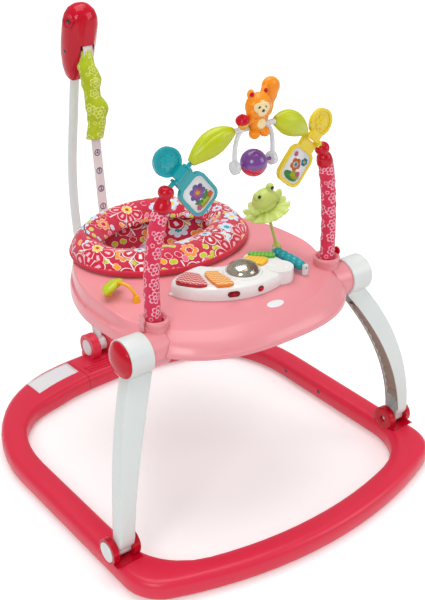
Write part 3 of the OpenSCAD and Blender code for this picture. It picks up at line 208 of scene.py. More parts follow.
def seat_print(name):
    """Cotton with a print of its own: big petalled flowers with pale outlines over dots on crimson."""
    g = Graph(name, Roughness=0.85, Sheen_Weight=0.25, Sheen_Roughness=0.5)
    uv = g.coords("UV")
    white, crimson, deep = linear((252, 236, 240)), linear((206, 20, 60)), linear((150, 8, 40))

    def layer(colour, share, some, ink):
        return g.mix(g.math("MULTIPLY", share, some), colour, ink)

    colour = g.mix(g.noise(uv, 70), linear((186, 14, 52)), linear((224, 40, 80)))
    d, pick, _ = flowers(g, uv, 0.0185, 3.1, 2, 0.0066, 0.75)
    some = g.math("LESS_THAN", pick, 0.8)
    dot = pick_colour(g, pick, [(200, 212, 20), (206, 20, 60), (196, 222, 242), (240, 110, 146),
                                (200, 212, 20), (250, 168, 40), (240, 110, 146), (206, 20, 60)])
    colour = layer(colour, g.ramp(d, 1.16, 1.08), some, white)
    colour = layer(colour, g.ramp(d, 1.02, 0.96), some, dot)
    d, pick, _ = flowers(g, uv, 0.04, 7.7, 6, 0.0165, 0.6)
    some = g.math("LESS_THAN", pick, 0.56)
    petal = pick_colour(g, pick, [(206, 228, 246), (246, 150, 50), (206, 228, 246), (240, 110, 146),
                                  (206, 228, 246)])
    core = pick_colour(g, pick, [(20, 160, 178), (206, 20, 60), (240, 205, 50), (200, 212, 20),
                                 (20, 160, 178)])
    for low, high, ink in ((1.12, 1.08, deep), (1.06, 1.02, white), (0.98, 0.94, petal), (0.5, 0.46, white),
                           (0.42, 0.38, core)):
        colour = layer(colour, g.ramp(d, low, high), some, ink)
    d, pick, lobe = flowers(g, uv, 0.076, 1.3, 7, 0.037, 0.4)
    some = g.math("LESS_THAN", pick, 0.8)
    petal = pick_colour(g, pick, [(212, 18, 54), (200, 10, 46), (222, 36, 76), (206, 16, 52)])
    heart = pick_colour(g, pick, [(250, 190, 208), (252, 236, 240), (246, 160, 184), (250, 190, 208)])
    core = pick_colour(g, pick, [(235, 215, 60), (196, 222, 242), (250, 168, 40), (200, 212, 20)])
    for low, high, ink in ((1.1, 1.07, deep), (1.055, 1.025, white), (1.0, 0.975, petal)):
        colour = layer(colour, g.ramp(d, low, high), some, ink)
    vein = g.math("MULTIPLY", g.ramp(lobe, 0.13, 0.08), g.ramp(d, 0.38, 0.44))
    colour = layer(colour, vein, some, white)
    inner = g.math("MULTIPLY", g.ramp(lobe, 0.9, 0.95), g.ramp(g.apart(d, 0.66), 0.17, 0.12))
    colour = layer(colour, inner, some, heart)
    for low, high, ink in ((0.36, 0.33, white), (0.31, 0.28, core), (0.14, 0.11, crimson)):
        colour = layer(colour, g.ramp(d, low, high), some, ink)
    g.set("Base Color", colour)
    weave(g, uv, THREAD, 0.00012, g.noise(uv, 55, 4), 0.0012)
    return g.mat


def flower_cloth(name, ground, line, cell=0.034, size=0.0155):
    """Plain cotton with small outlined flowers, their middles outlined as well."""
    g = Graph(name, Roughness=0.82, Sheen_Weight=0.2, Sheen_Roughness=0.5)
    uv = g.coords("UV")
    colour = g.cloudy(g.noise(uv, 45), ground, 0.84)
    d, pick, lobe = flowers(g, uv, cell, 2.2, 6, size, 0.45)
    ring = g.ramp(g.apart(d, 0.9), 0.13, 0.07)
    core = g.ramp(g.apart(d, 0.3), 0.12, 0.06)
    spoke = g.math("MULTIPLY", g.ramp(lobe, 0.3, 0.18), g.ramp(g.apart(d, 0.62), 0.3, 0.24))
    marks = g.math("MAXIMUM", g.math("MAXIMUM", ring, core), spoke)
    d, pick, _ = flowers(g, uv, cell * 0.62, 5.9, 5, size * 0.36, 0.7)
    small = g.math("MULTIPLY", g.ramp(g.apart(d, 0.8), 0.3, 0.15), g.math("LESS_THAN", pick, 0.4))
    g.set("Base Color", g.mix(g.math("MAXIMUM", marks, g.math("MULTIPLY", small, 0.8)), colour, linear(line)))
    weave(g, uv, THREAD, 0.00014, g.noise(uv, 90, 4), 0.0008)
    return g.mat


def cloth(name, rgb, sheen=0.25, deep=0.75):
    """Plain woven cloth in one colour, a little deeper in patches."""
    g = Graph(name, Roughness=0.85, Sheen_Weight=sheen, Sheen_Roughness=0.5)
    uv = g.coords("UV")
    g.set("Base Color", g.cloudy(g.noise(uv, 40), rgb, deep))
    weave(g, uv, THREAD, 0.00015, g.noise(uv, 60, 4), 0.0006)
    return g.mat


def webbing(name, rgb):
    """Flat strap with ribs across it and a heavier edge."""
    g = Graph(name, Roughness=0.8, Sheen_Weight=0.2, Sheen_Roughness=0.5)
    uv = g.coords("UV")
    v = g.parts(uv)[1]
    rib = g.math("MULTIPLY_ADD", g.math("SINE", g.math("MULTIPLY", v, 2 * math.pi / RIB)), 0.5, 0.5)
    g.set("Base Color", g.mix(g.math("MULTIPLY", rib, g.noise(uv, 80)), linear(rgb), linear(rgb, 0.86)))
    weave(g, uv, RIB, 0.0002, rib, 0.0002)
    return g.mat


def metal(name, rgb, rough=0.3):
    g = Graph(name, Metallic=1.0)
    at = g.coords()
    g.set("Base Color", g.cloudy(g.noise(at, 30), rgb, 0.85))
    g.uneven(at, 120, 4, rough * 0.7, rough * 1.4)
    g.set("Normal", g.bump(g.noise(at, 700, 2), 0.00004, None, 0.5))
    return g.mat


def zigzag(name, ground, line):
    """Key plastic with pale zigzag lines printed across it."""
    g = Graph(name, Roughness=0.28, Coat_Weight=0.2)
    u, v, _ = g.parts(g.coords("UV"))
    wave = g.math("PINGPONG", v, 0.0032)
    row = g.math("PINGPONG", g.math("ADD", u, g.math("MULTIPLY", wave, 0.8)), 0.0036)
    share = g.ramp(row, 0.0012, 0.0021)
    base = g.cloudy(g.noise(g.coords(), 30), ground, 0.9)
    top = g.ramp(g.parts(g.node("NewGeometry", {}, "Normal"))[2], 0.6, 0.8)
    g.set("Base Color", g.mix(g.math("MULTIPLY", share, top), base, linear(line)))
    g.set("Normal", g.bump(share, 0.0005, None, 0.6))
    return g.mat


def mirror_with_painted_reflection(name):
    """Mirror bowl with a painted reflection: it darkens towards one side, as if it held a picture of the
    room.
    """
    g = Graph(name, Metallic=0.85)
    at = g.coords()
    x = g.parts(at)[0]
    # Painted reflection: pale on one side, brown on the other
    side = g.ramp(g.math("ADD", x, g.math("MULTIPLY", g.noise(at, 26, 3), 0.03)), 0.01, 0.05)
    g.set("Base Color", g.mix(side, linear((206, 200, 186)), linear((132, 110, 88))))
    g.uneven(at, 60, 3, 0.06, 0.2)
    return g.mat


def clear(name, rgb, rough=0.04):
    """Thin clear plastic with a faint tint."""
    g = Graph(name, Transmission_Weight=1.0, IOR=1.08, Coat_Weight=1.0, Coat_Roughness=0.03)
    g.set("Base Color", linear(rgb))
    g.uneven(g.coords(), 40, 3, rough * 0.6, rough * 1.6)
    return g.mat


def two_tone(name, top, low, centre):
    """Glossy ball whose upper colour ends in a scalloped edge above the lower one."""
    g = Graph(name, Roughness=0.16, Coat_Weight=0.3, Coat_Roughness=0.05)
    at = g.coords()
    x, y, z = g.parts(g.vec("SUBTRACT", at, centre))
    scallop = g.math("ABSOLUTE", g.math("SINE", g.math("MULTIPLY", g.math("ARCTAN2", y, x), 5)))
    wave = g.math("MULTIPLY", scallop, 0.0045)
    share = g.ramp(g.math("ADD", z, wave), -0.0032, -0.0026)
    cloud = g.noise(at, 30, 2)
    g.set("Base Color", g.mix(share, g.cloudy(cloud, low, 0.93), g.cloudy(cloud, top, 0.93)))
    g.set("Normal", g.bump(share, 0.0004, None, 0.6))
    return g.mat


def leg_plastic(name, rgb, hollow_shade, side):
    """White leg moulding with painted shade: its hollow inner side is taupe between the two hubs."""
    g = Graph(name)
    at = g.coords()
    z = g.parts(at)[2]
    inner = g.ramp(g.math("MULTIPLY", g.parts(g.coords("Normal"))[0], -side), 0.45, 0.6)
    shade_span = g.math("MULTIPLY", g.ramp(z, *HOLLOW_SHADE_FOOT), g.ramp(z, *HOLLOW_SHADE_TOP))
    cloud = g.noise(at, 9, 2)
    pair = [g.cloudy(cloud, c, 0.95) for c in (rgb, hollow_shade)]
    # Painted shade: faces turned into the channel take the taupe between the hubs
    g.set("Base Color", g.mix(g.math("MULTIPLY", inner, shade_span), *pair))
    g.uneven(at, 35, 4, 0.26, 0.36)
    g.moulded(at, 1, 0.00006)
    return g.mat


RED = plastic("red_tube", (230, 36, 70), 0.34, 1.2, grain=0.0001, tint=0.02)
RED_GLOSS = plastic("red_gloss", (200, 6, 38), 0.13, 0.8, tint=0.02, Specular_IOR_Level=0.3)
DARK = plastic("dark_plastic", (60, 58, 62), 0.5)
STEEL = metal("steel", (200, 200, 205))
RUBBER = plastic("rubber", (58, 58, 60), 0.75, grain=0.0002)
WHITE = plastic("white_plastic", WHITE_RGB, 0.3, 1.0, tint=0.02)
CONSOLE_WHITE = plastic("console_white", (240, 240, 238), 0.26, 1.6, tint=0.015)
# Taupe painted shade for the legs' liners, which fill the shadowed inside of the channels
HOLLOW_SHADE = plastic("taupe_plastic", HOLLOW_SHADE_RGB, 0.55, tint=0.06)
PINK = plastic("pink_plastic", (240, 150, 158), 0.3, 1.6, 0.15, tint=0.025)
LIME = plastic("lime_plastic", (196, 208, 18), 0.3, 1.0)
TEAL = plastic("teal_plastic", (0, 164, 174), 0.24, 0.7, 0.2)
YELLOW = plastic("yellow_plastic", (238, 208, 20), 0.24, 0.7, 0.2)
ORANGE = plastic("orange_plastic", (250, 148, 8), 0.28, 0.7, tint=0.02, Specular_IOR_Level=0.4)
AMBER = plastic("amber_plastic", (246, 178, 24), 0.28, 0.6)
PURPLE = plastic("purple_plastic", (126, 68, 150), 0.22, 0.7, 0.3)
PAPER = plastic("label_paper", (244, 244, 246), 0.45, 0.1)
CREAM = plastic("cream_plastic", (250, 226, 170), 0.32, 0.3)
# Black serves for real black marks and as painted shade in screw holes
BLACK = plastic("black_plastic", (18, 16, 18), 0.2, 0.2, 0.5)
CLEAR_GREEN = plastic("clear_green", (216, 234, 128), 0.16, 0.5, 0.2, tint=0.02,
                      Transmission_Weight=0.15, IOR=1.3)
MILKY = plastic("milky_plastic", (238, 241, 244), 0.2, 0.8, 0.2, tint=0.02, Transmission_Weight=0.25, IOR=1.3)
INK_LIME, INK_GREEN, INK_VIOLET, INK_PINK, INK_ORANGE, INK_YELLOW, INK_TEAL, INK_PAPER = (
    plastic("ink_" + name, rgb, 0.5) for name, rgb in (
        ("lime", (190, 208, 50)), ("green", (80, 165, 80)), ("violet", (140, 120, 200)),
        ("pink", (236, 110, 160)), ("orange", (242, 130, 60)), ("yellow", (245, 210, 70)),
        ("teal", (40, 160, 185)), ("pale", (248, 240, 232))))
DARK_RED = plastic("dark_red", (120, 8, 22), 0.3, 0.4)
MIRROR_PAINTED_REFLECTION = mirror_with_painted_reflection("mirror")
BUBBLE = clear("clear_bubble", (246, 246, 240))
SEAT = seat_print("seat_fabric")
SLEEVE_CLOTH = flower_cloth("sleeve_fabric", (232, 44, 86), (250, 186, 204), 0.029, 0.0125)
LIME_CLOTH = flower_cloth("lime_fabric", (188, 206, 16), (226, 236, 130), 0.03, 0.0125)
BINDING = cloth("binding_fabric", (222, 34, 66))
# Dark cloth for tubes of painted shade along the pad's creases
CREASE_SHADE = cloth("crease_shade_fabric", (112, 12, 38))
WEB = webbing("webbing", (244, 236, 236))


# Mesh helpers; edges bent by less than SHARP are shaded smooth, points nearer than WELD in metres are joined
SHARP, WELD = math.radians(32), 2e-5


def add(name, verts, faces, uvs=None):
    """Mesh object from points in millimetres; uvs holds one pair per corner of each face, in metres."""
    mesh = bpy.data.meshes.new(name)
    mesh.from_pydata((np.asarray(verts, float) * MM).tolist(), [], faces)
    mesh.shade_smooth()
    if uvs is not None:
        mesh.uv_layers.new(name="UVMap").data.foreach_set("uv", np.asarray(uvs, np.float32).ravel())
    obj = bpy.data.objects.new(name, mesh)
    scene.collection.objects.link(obj)
    return obj


def loft(name, rings, loop=False, wrap=True, caps=True):
    """Skin over rings (m, n, 3) in millimetres, with UVs that measure along and around it in metres."""
    r = np.asarray(rings, float)
    m, n, _ = r.shape
    rows, cols = m if loop else m - 1, n if wrap else n - 1
    full = np.concatenate([r, r[:, :1]], 1)
    across = np.linalg.norm(np.diff(full, axis=1), axis=2).mean(0)
    u = np.concatenate([[0], np.cumsum(across)]) * MM
    tall = np.concatenate([r, r[:1]], 0)
    down = np.linalg.norm(np.diff(tall, axis=0), axis=2).mean(1)
    v = np.concatenate([[0], np.cumsum(down)]) * MM
    faces, uvs = [], []
    for i in range(rows):
        for j in range(cols):
            a, b = i * n + j, i * n + (j + 1) % n
            c, d = ((i + 1) % m) * n + (j + 1) % n, ((i + 1) % m) * n + j
            faces.append((a, b, c, d))
            uvs += [(u[j], v[i]), (u[j + 1], v[i]), (u[j + 1], v[i + 1]), (u[j], v[i + 1])]
    if caps and wrap and not loop:
        faces += [tuple(range(n - 1, -1, -1)), tuple((m - 1) * n + j for j in range(n))]
        uvs += [(u[j], v[0]) for j in range(n - 1, -1, -1)] + [(u[j], v[m - 1]) for j in range(n)]
    return add(name, r.reshape(-1, 3), faces, uvs)


def unit(v):
    return v / np.linalg.norm(v)


def turns(n):
    """Angles of n even steps round a circle."""
    return np.arange(n) * 2 * math.pi / n


def tube_rings(points, radii, n=12, side=(1, 0, 0)):
    """Rings of given radii (rx, ry) along a line of points, square to it."""
    p = np.asarray(points, float)
    out = []
    for i in range(len(p)):
        t = unit(p[min(i + 1, len(p) - 1)] - p[max(i - 1, 0)])
        u = unit(np.asarray(side, float) - np.dot(side, t) * t)
        w = np.cross(t, u)
        a = turns(n)
        rx, ry = radii[i]
        rx = rx(a) if callable(rx) else rx
        ry = ry(a) if callable(ry) else ry
        out.append(p[i] + np.outer(np.cos(a) * rx, u) + np.outer(np.sin(a) * ry, w))
    return out


def lathe(name, profile, centre, axis=(0, 0, 1), n=32, caps=True):
    """Turned piece: profile of (radius, height) along the axis from the centre."""
    z = unit(np.asarray(axis, float))
    x = unit(np.cross(z, (0.31, 0.9, 0.2)))
    y = np.cross(z, x)
    a = turns(n)
    ring = np.outer(np.cos(a), x) + np.outer(np.sin(a), y)
    return loft(name, [np.asarray(centre, float) + r * ring + h * z for r, h in profile], caps=caps)


def bend(a, b, c, t):
    """Point at share t of a curve from a to c that b pulls aside."""
    a, b, c = (np.asarray(x, float) for x in (a, b, c))
    return (1 - t) ** 2 * a + 2 * t * (1 - t) * b + t * t * c


def ease(t):
    """0 below 0, 1 above 1, smooth between."""
    c = np.clip(t, 0, 1)
    return c * c * (3 - 2 * c)


def bake(obj):
    """Replaces an object's mesh by what its modifiers make of it."""
    dg = bpy.context.evaluated_depsgraph_get()
    mesh = bpy.data.meshes.new_from_object(obj.evaluated_get(dg), preserve_all_data_layers=True, depsgraph=dg)
    old = obj.data
    obj.modifiers.clear()
    obj.data = mesh
    bpy.data.meshes.remove(old)
    obj.data.shade_smooth()
    return obj


def outward(obj):
    """Turns a closed skin's faces outwards."""
    b = bmesh.new()
    b.from_mesh(obj.data)
    bmesh.ops.recalc_face_normals(b, faces=b.faces)
    b.to_mesh(obj.data)
    b.free()
    return obj


def thicken(obj, thick, offset=-1):
    mod = obj.modifiers.new("thick", "SOLIDIFY")
    mod.thickness, mod.offset = thick, offset


def carve(obj, *cutters):
    """Cuts closed skins out of an object and deletes them."""
    for c in cutters:
        mod = obj.modifiers.new("cut", "BOOLEAN")
        mod.object, mod.operation, mod.solver = outward(c), "DIFFERENCE", "EXACT"
    bake(obj)
    for c in cutters:
        bpy.data.objects.remove(c)
    shade(obj)


def surface(obj):
    """Search tree over an object's faces."""
    return BVHTree.FromPolygons([v.co for v in obj.data.vertices],
                                [tuple(f.vertices) for f in obj.data.polygons])


def swell(obj, pins, frames=20, pressure=4.0, cap=8.0, stiff=12.0):
    """Fills a closed cloth with air: pinned points stay, and no point moves more than cap millimetres."""
    rest = np.array([v.co for v in obj.data.vertices])
    group = obj.vertex_groups.new(name="pins")
    for i, w in enumerate(pins):
        if w > 0:
            group.add([i], float(w), "REPLACE")
    mod = obj.modifiers.new("cloth", "CLOTH")
    s = mod.settings
    s.vertex_group_mass = "pins"
    s.use_pressure = True
    s.uniform_pressure_force = pressure
    s.effector_weights.gravity = 0
    s.tension_stiffness = s.compression_stiffness = stiff
    s.shear_stiffness = stiff / 2
    s.bending_stiffness = 0.3
    s.mass = 0.15
    s.quality = 6
    mod.point_cache.frame_start, mod.point_cache.frame_end = 1, frames
    for f in range(1, frames + 1):
        scene.frame_set(f)
    bake(obj)
    scene.frame_set(1)
    now = np.array([v.co for v in obj.data.vertices])
    move = now - rest
    size = np.linalg.norm(move, axis=1)[:, None]
    now = rest + move * np.minimum(1, cap * MM / np.maximum(size, 1e-9))
    obj.data.vertices.foreach_set("co", now.astype(np.float32).ravel())
    obj.data.update()
    obj.vertex_groups.clear()
    return obj


def blob(name, lumps, voxel=1.6, smooth=6):
    """One rounded body from ellipsoids (centre, radii, turn about Y and Z in degrees), in millimetres."""
    verts, faces, k = [], [], 0
    n, m = 24, 14
    for centre, radii, *turn in lumps:
        about_y, about_z = (math.radians(q) for q in turn or (0, 0))
        rot = np.array(Matrix.Rotation(about_z, 3, "Z") @ Matrix.Rotation(about_y, 3, "Y"))
        th = np.linspace(0, math.pi, m + 1)[1:-1]
        ph = turns(n)
        pts = np.array([[math.sin(t) * math.cos(f), math.sin(t) * math.sin(f), math.cos(t)]
                        for t in th for f in ph])
        pts = np.vstack([pts, [[0, 0, 1], [0, 0, -1]]]) * np.asarray(radii, float)
        verts.append(pts @ rot.T + np.asarray(centre, float))
        for i in range(m - 2):
            for j in range(n):
                a, b = k + i * n + j, k + i * n + (j + 1) % n
                faces.append((a, a + n, b + n, b))
        top, low, last = k + (m - 1) * n, k + (m - 1) * n + 1, k + (m - 2) * n
        faces += [(top, k + j, k + (j + 1) % n) for j in range(n)]
        faces += [(low, last + (j + 1) % n, last + j) for j in range(n)]
        k += len(pts)
    obj = add(name, np.vstack(verts), faces)
    mod = obj.modifiers.new("remesh", "REMESH")
    mod.mode, mod.voxel_size = "VOXEL", voxel * MM
    mod = obj.modifiers.new("smooth", "SMOOTH")
    mod.factor, mod.iterations = 0.5, smooth
    return bake(obj)


def dress(obj, mat, body, replaces=()):
    """Material and body of a piece; it stands for the nodes it replaces."""
    obj.data.materials.clear()
    obj.data.materials.append(mat)
    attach(obj, body)
    if replaces:
        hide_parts(*replaces)
    return obj


def smooth_group():
    """Geometry nodes that shade a solid smooth and keep its sharp edges."""
    tree = bpy.data.node_groups.new("shade_by_angle", "GeometryNodeTree")
    for way in ("INPUT", "OUTPUT"):
        tree.interface.new_socket("Geometry", in_out=way, socket_type="NodeSocketGeometry")
    made = {k: tree.nodes.new(k) for k in ("NodeGroupInput", "GeometryNodeRemoveAttribute",
                                           "GeometryNodeMergeByDistance",
                                           "GeometryNodeInputMeshEdgeAngle", "FunctionNodeCompare",
                                           "NodeGroupOutput")}
    faces, edges = (tree.nodes.new("GeometryNodeSetShadeSmooth") for _ in range(2))
    edges.domain = "EDGE"
    strip, weld = made["GeometryNodeRemoveAttribute"], made["GeometryNodeMergeByDistance"]
    strip.inputs["Name"].default_value = "custom_normal"
    weld.inputs["Distance"].default_value = WELD
    compare = made["FunctionNodeCompare"]
    compare.operation = "LESS_THAN"
    compare.inputs[1].default_value = SHARP
    link = tree.links.new
    link(made["NodeGroupInput"].outputs[0], strip.inputs[0])
    link(strip.outputs[0], weld.inputs[0])
    link(weld.outputs[0], faces.inputs[0])
    link(faces.outputs[0], edges.inputs[0])
    link(made["GeometryNodeInputMeshEdgeAngle"].outputs[0], compare.inputs[0])
    link(compare.outputs[0], edges.inputs["Shade Smooth"])
    link(edges.outputs[0], made["NodeGroupOutput"].inputs[0])
    return tree


SMOOTH = smooth_group()


def shade(obj):
    obj.modifiers.new("shade", "NODES").node_group = SMOOTH


def paint(mat, *names):
    """Gives solids of the frame a material and smooth shading."""
    for name in names:
        o = nodes[name]
        o.data.materials.clear()
        o.data.materials.append(mat)
        shade(o)


# Finishes of the carried-over solids
paint(RED, "base_front_tube", "base_left_tube", "base_right_tube", "rear_hinge_bracket")
paint(RED_GLOSS, "left_hinge_bracket", "right_hinge_bracket", "strap_anchor",
      "right_arm_latch", "volume_slider", "mode_button")
paint(DARK, "base_joiners")
paint(STEEL, "hinge_pins", "bounce_spring")
# The screws are black as painted shade of the holes they sit in
paint(BLACK, "base_screws")
paint(RUBBER, "floor_pads")
paint(WHITE, "pivot_bushes", "seat_ring", "post_tube", "left_release_button", "right_release_button",
      "rear_release_button", "toy_arms", "roller_stand")
for s, side in SIDES:
    paint(leg_plastic(side + "_leg_plastic", WHITE_RGB, HOLLOW_SHADE_RGB, s), side + "_leg")
paint(MILKY, "ball_loop")
paint(CONSOLE_WHITE, "console_floor", "speaker_drum")
# The liners carry the taupe painted shade of the legs' channels
paint(HOLLOW_SHADE, "left_leg_liner", "right_leg_liner")
paint(PINK, "tray_shoulders", "left_arm_latch")
paint(TEAL, "teal_flip_frame", "teal_flip_lid", "roller")
paint(YELLOW, "yellow_flip_frame", "yellow_flip_lid")
paint(AMBER, "bead_arch")
paint(two_tone("ball_plastic", (122, 66, 150), (206, 22, 52), (0, MID_Y * MM, BALL_Z * MM)), "spinner_ball")

# Seat pad: a stuffed bolster round the front and sides, creased against a back panel
# that slopes into the seat
PAD_STEPS = 180
# Half width, half depth and middle of the outer edge and of the opening
PAD_RIM, PAD_MOUTH = (190, 151, SEAT_Y), (122, 70, OPENING_Y)
PAD_TALL, PAD_RISE = 36, 6
TUCK_DEEP, TUCK_WIDE, CREASE_WIDE = 11, 3.2, 5
SOFT_TUCKS = (205, 250, 290, 335)
# Points along and radius of the dark tubes of painted shade in the creases
CREASE_SHADE_STEPS, CREASE_SHADE_R = 24, 1.5


def pad_edge(a, inner):
    rx, ry, cy = PAD_MOUTH if inner else PAD_RIM
    return np.stack([rx * np.cos(a), cy + ry * np.sin(a), np.full_like(a, PAD_Z)], -1)


def pad_height(a):
    return PAD_TALL + PAD_RISE * ease((np.sin(a) + 0.7) / 1.5)


def crease_at(share):
    """Degrees from straight back at which the crease lies; it runs forward from the rim to the opening."""
    return 20 + 80 * share


def past_crease(a, share):
    """Degrees from the crease, above zero on the back panel."""
    return crease_at(share) - np.abs((np.degrees(a) + 90) % 360 - 180)


# Share of the way in, then the heights of the bolster and of the back panel
PAD_PROFILE = [(0.02, 0, 0), (0, 0.14, 0.14), (0.03, 0.3, 0.32), (0.08, 0.46, 0.5), (0.14, 0.62, 0.68),
               (0.22, 0.78, 0.84), (0.31, 0.9, 0.92), (0.41, 0.97, 0.92), (0.52, 0.99, 0.85),
               (0.63, 0.95, 0.74), (0.73, 0.87, 0.61), (0.83, 0.75, 0.46), (0.91, 0.6, 0.32),
               (0.97, 0.42, 0.2), (1, 0.24, 0.1), (0.98, 0.08, 0.04), (0.9, 0, 0), (0.6, 0, 0), (0.3, 0, 0)]
angles = turns(PAD_STEPS)
rings = []
pins = np.zeros((len(PAD_PROFILE), PAD_STEPS))
for i, (share, tall, back) in enumerate(PAD_PROFILE):
    past = past_crease(angles, share)
    panel = ease(past / CREASE_WIDE + 0.5)
    tuck = TUCK_DEEP * np.exp(-(past / TUCK_WIDE) ** 2) * min(1, tall / 0.6)
    ring = pad_edge(angles, False) * (1 - share) + pad_edge(angles, True) * share
    ring[:, 2] += np.maximum((tall * (1 - panel) + back * panel) * pad_height(angles) * 0.94 - tuck, 0)
    rings.append(ring)
    pins[i][np.abs(past) < 2.2] = 1
    if tall < 0.16:
        pins[i] = 1
    for at in SOFT_TUCKS:
        near = np.abs((np.degrees(angles) - at + 180) % 360 - 180) < 1.1
        pins[i][near] = np.maximum(pins[i][near], 0.35)
pad = loft("seat_pad_fabric", rings, loop=True)
swell(pad, pins.ravel(), pressure=4.0, cap=6)
mod = pad.modifiers.new("round", "SUBSURF")
mod.levels = mod.render_levels = 1
bake(pad)
dress(pad, SEAT, "tray", ["seat_pad"])

# Painted shade in the pad's two creases: thin dark tubes laid along them
tree = surface(pad)
for side, name in SIDES:
    line = []
    for share in np.linspace(0.1, 0.93, CREASE_SHADE_STEPS):
        a = np.array([math.radians(90 - side * crease_at(share))])
        x, y, z = (pad_edge(a, False) * (1 - share) + pad_edge(a, True) * share)[0]
        hit = tree.ray_cast(Vector((x, y, z + 100)) * MM, Vector((0, 0, -1)))[0]
        line.append((x, y, hit.z / MM + 0.2))
    fine = [(CREASE_SHADE_R * math.sin(math.pi * (k + 0.6) / (CREASE_SHADE_STEPS + 0.2)) ** 0.5,) * 2
            for k in range(CREASE_SHADE_STEPS)]
    dress(loft(name + "_pad_crease_shade", tube_rings(line, fine, 8, (0, 0, 1))), CREASE_SHADE, "tray")

# Bound edge below the pad
BOUND_X, BOUND_Y, BOUND_REACH = 188.5, 149.5, 189
rings = []
for t in angles:
    ahead = float(ease((0.35 - math.sin(t)) / 1.1))
    high, deep = 2.5 + 3.2 * ahead, 3.6 + 0.8 * ahead
    turn = turns(12)
    out = 1 + np.cos(turn) * deep / BOUND_REACH
    rings.append(np.stack([BOUND_X * out * math.cos(t), SEAT_Y + BOUND_Y * out * math.sin(t),
                           PAD_Z + high - 0.5 + high * np.sin(turn)], -1))
dress(loft("seat_binding", rings, loop=True), BINDING, "tray")

# Sling: a sewn bag with two leg openings
SLING_X, SLING_Y, SLING_DEEP, SLING_STEPS = 160, 120, 211, 96
LEG_HOLE_X, LEG_HOLE_Z, LEG_HOLE_R, LEG_HOLE_TURN = 58, PAD_Z - 0.3 - 214 * 0.6, 44, 20
# Share of the mouth's size and of the depth
SLING_SHAPE = [(1, -0.01), (0.93, 0.03), (0.86, 0.09), (0.81, 0.19), (0.78, 0.3), (0.74, 0.43), (0.7, 0.55),
               (0.63, 0.69), (0.55, 0.8), (0.45, 0.89), (0.34, 0.95), (0.2, 0.985), (0.08, 1)]
a = turns(SLING_STEPS)
rings = []
for share, deep in SLING_SHAPE:
    gather = 1 + 0.012 * np.sin(18 * a + 9 * deep) * (1 - 0.6 * deep) * (share < 0.95)
    rings.append(np.stack([(SLING_X * share) * np.cos(a) * gather,
                           SEAT_Y + (SLING_Y * share) * np.sin(a) * gather,
                           np.full_like(a, PAD_Z - 1 - SLING_DEEP * deep)], -1))
sling = loft("seat_sling_fabric", rings, caps=False)


def in_leg_hole(c):
    for s in (-1, 1):
        q = Vector((c.x - s * LEG_HOLE_X, c.y - SEAT_Y, c.z - LEG_HOLE_Z))
        q.rotate(Matrix.Rotation(math.radians(-s * LEG_HOLE_TURN), 3, "Z"))
        if q.y < 0 and math.hypot(q.x, q.z) < LEG_HOLE_R:
            return True
    return False


keep = [f for f in sling.data.polygons if not in_leg_hole(f.center / MM)]
uv_old = sling.data.uv_layers[0].data
mesh_uv = [tuple(uv_old[i].uv) for f in keep for i in f.loop_indices]
cut = add("seat_sling_cut", [v.co / MM for v in sling.data.vertices], [tuple(f.vertices) for f in keep],
          mesh_uv)
bpy.data.objects.remove(sling)
cut.name = "seat_sling_fabric"
thicken(cut, 0.0022)
dress(cut, SEAT, "tray", ["seat_sling"])

# Arm sleeves: gathered cotton tubes along the bowed arms
ARM = ((SOCKET_X, SOCKET_Y, SOCKET_Z - 29),
       (SOCKET_X + 12, ARCH_Y + 8, SOCKET_Z + 0.55 * (COLLAR_Z - SOCKET_Z)),
       (ARM_TOP_X, ARCH_Y, COLLAR_Z + 6))


def arm_sleeve(name, side, node, seed):
    steps, n = 110, 40
    pts, radii = [], []
    for i in range(steps + 1):
        s = i / steps
        p = bend(*ARM, 0.06 + 0.915 * s)
        pts.append(p * (side, 1, 1))
        neck = 0.83 + 0.17 * ease(min(s, 1 - s) / 0.035)

        def radius(ang, s=s, neck=neck):
            fold = 0.55 * np.sin(2 * ang + 26 * s + seed) * np.sin(31 * s + seed)
            fold = fold + 0.4 * np.sin(ang * 3 - 47 * s + 2 * seed)
            pinch = 0.5 * np.sin(3 * ang + seed + 90 * s) * (np.exp(-s / 0.06) + np.exp(-(1 - s) / 0.06))
            return (SLEEVE_R + fold + pinch) * neck

        radii.append((radius, radius))
    obj = loft(name, tube_rings(pts, radii, n), caps=False)
    thicken(obj, SLEEVE_THICK)
    return dress(obj, SLEEVE_CLOTH, "tray", [node])


arm_sleeve("left_sleeve_fabric", -1, "left_sleeve", 0.4)
arm_sleeve("right_sleeve_fabric", 1, "right_sleeve", 2.1)

# Flip toys: picture cards, and a raised flower inside each lid
FLIP_LEAN, FLIP_X, LID_TIP, LID_HINGE = math.radians(40), 146, math.radians(12), 7
CARD_Y, INK_STEP = -3.3, 0.12


def flip_at(side, x, y, z):
    """Point of a flip toy from its own axes: z from picture to lid, front towards -y."""
    c, s = math.cos(FLIP_LEAN), math.sin(FLIP_LEAN)
    return np.array((side * (FLIP_X + x * c + z * s), ARCH_Y + y, FLIP_Z - x * s + z * c))


def lid_at(side, x, y, z):
    """Point of a lid, which the left toy holds tipped about its hinge."""
    t = LID_TIP if side < 0 else 0
    y += LID_HINGE
    y, z = y * math.cos(t) + z * math.sin(t), z * math.cos(t) - y * math.sin(t)
    return flip_at(side, x, y - LID_HINGE, z)


def oval(x, z, rx, rz, turn=0, n=36):
    t, q = turns(n), math.radians(turn)
    u, w = rx * np.cos(t), rz * np.sin(t)
    return np.stack([x + u * math.cos(q) - w * math.sin(q), z + u * math.sin(q) + w * math.cos(q)], -1)


def petals(x, z, r, count, dip=0.28, turn=0.0, n=84):
    t = turns(n)
    k = r * (1 - dip + dip * np.abs(np.cos(count * (t - turn) / 2)) ** 0.7)
    return np.stack([x + k * np.cos(t), z + k * np.sin(t)], -1)


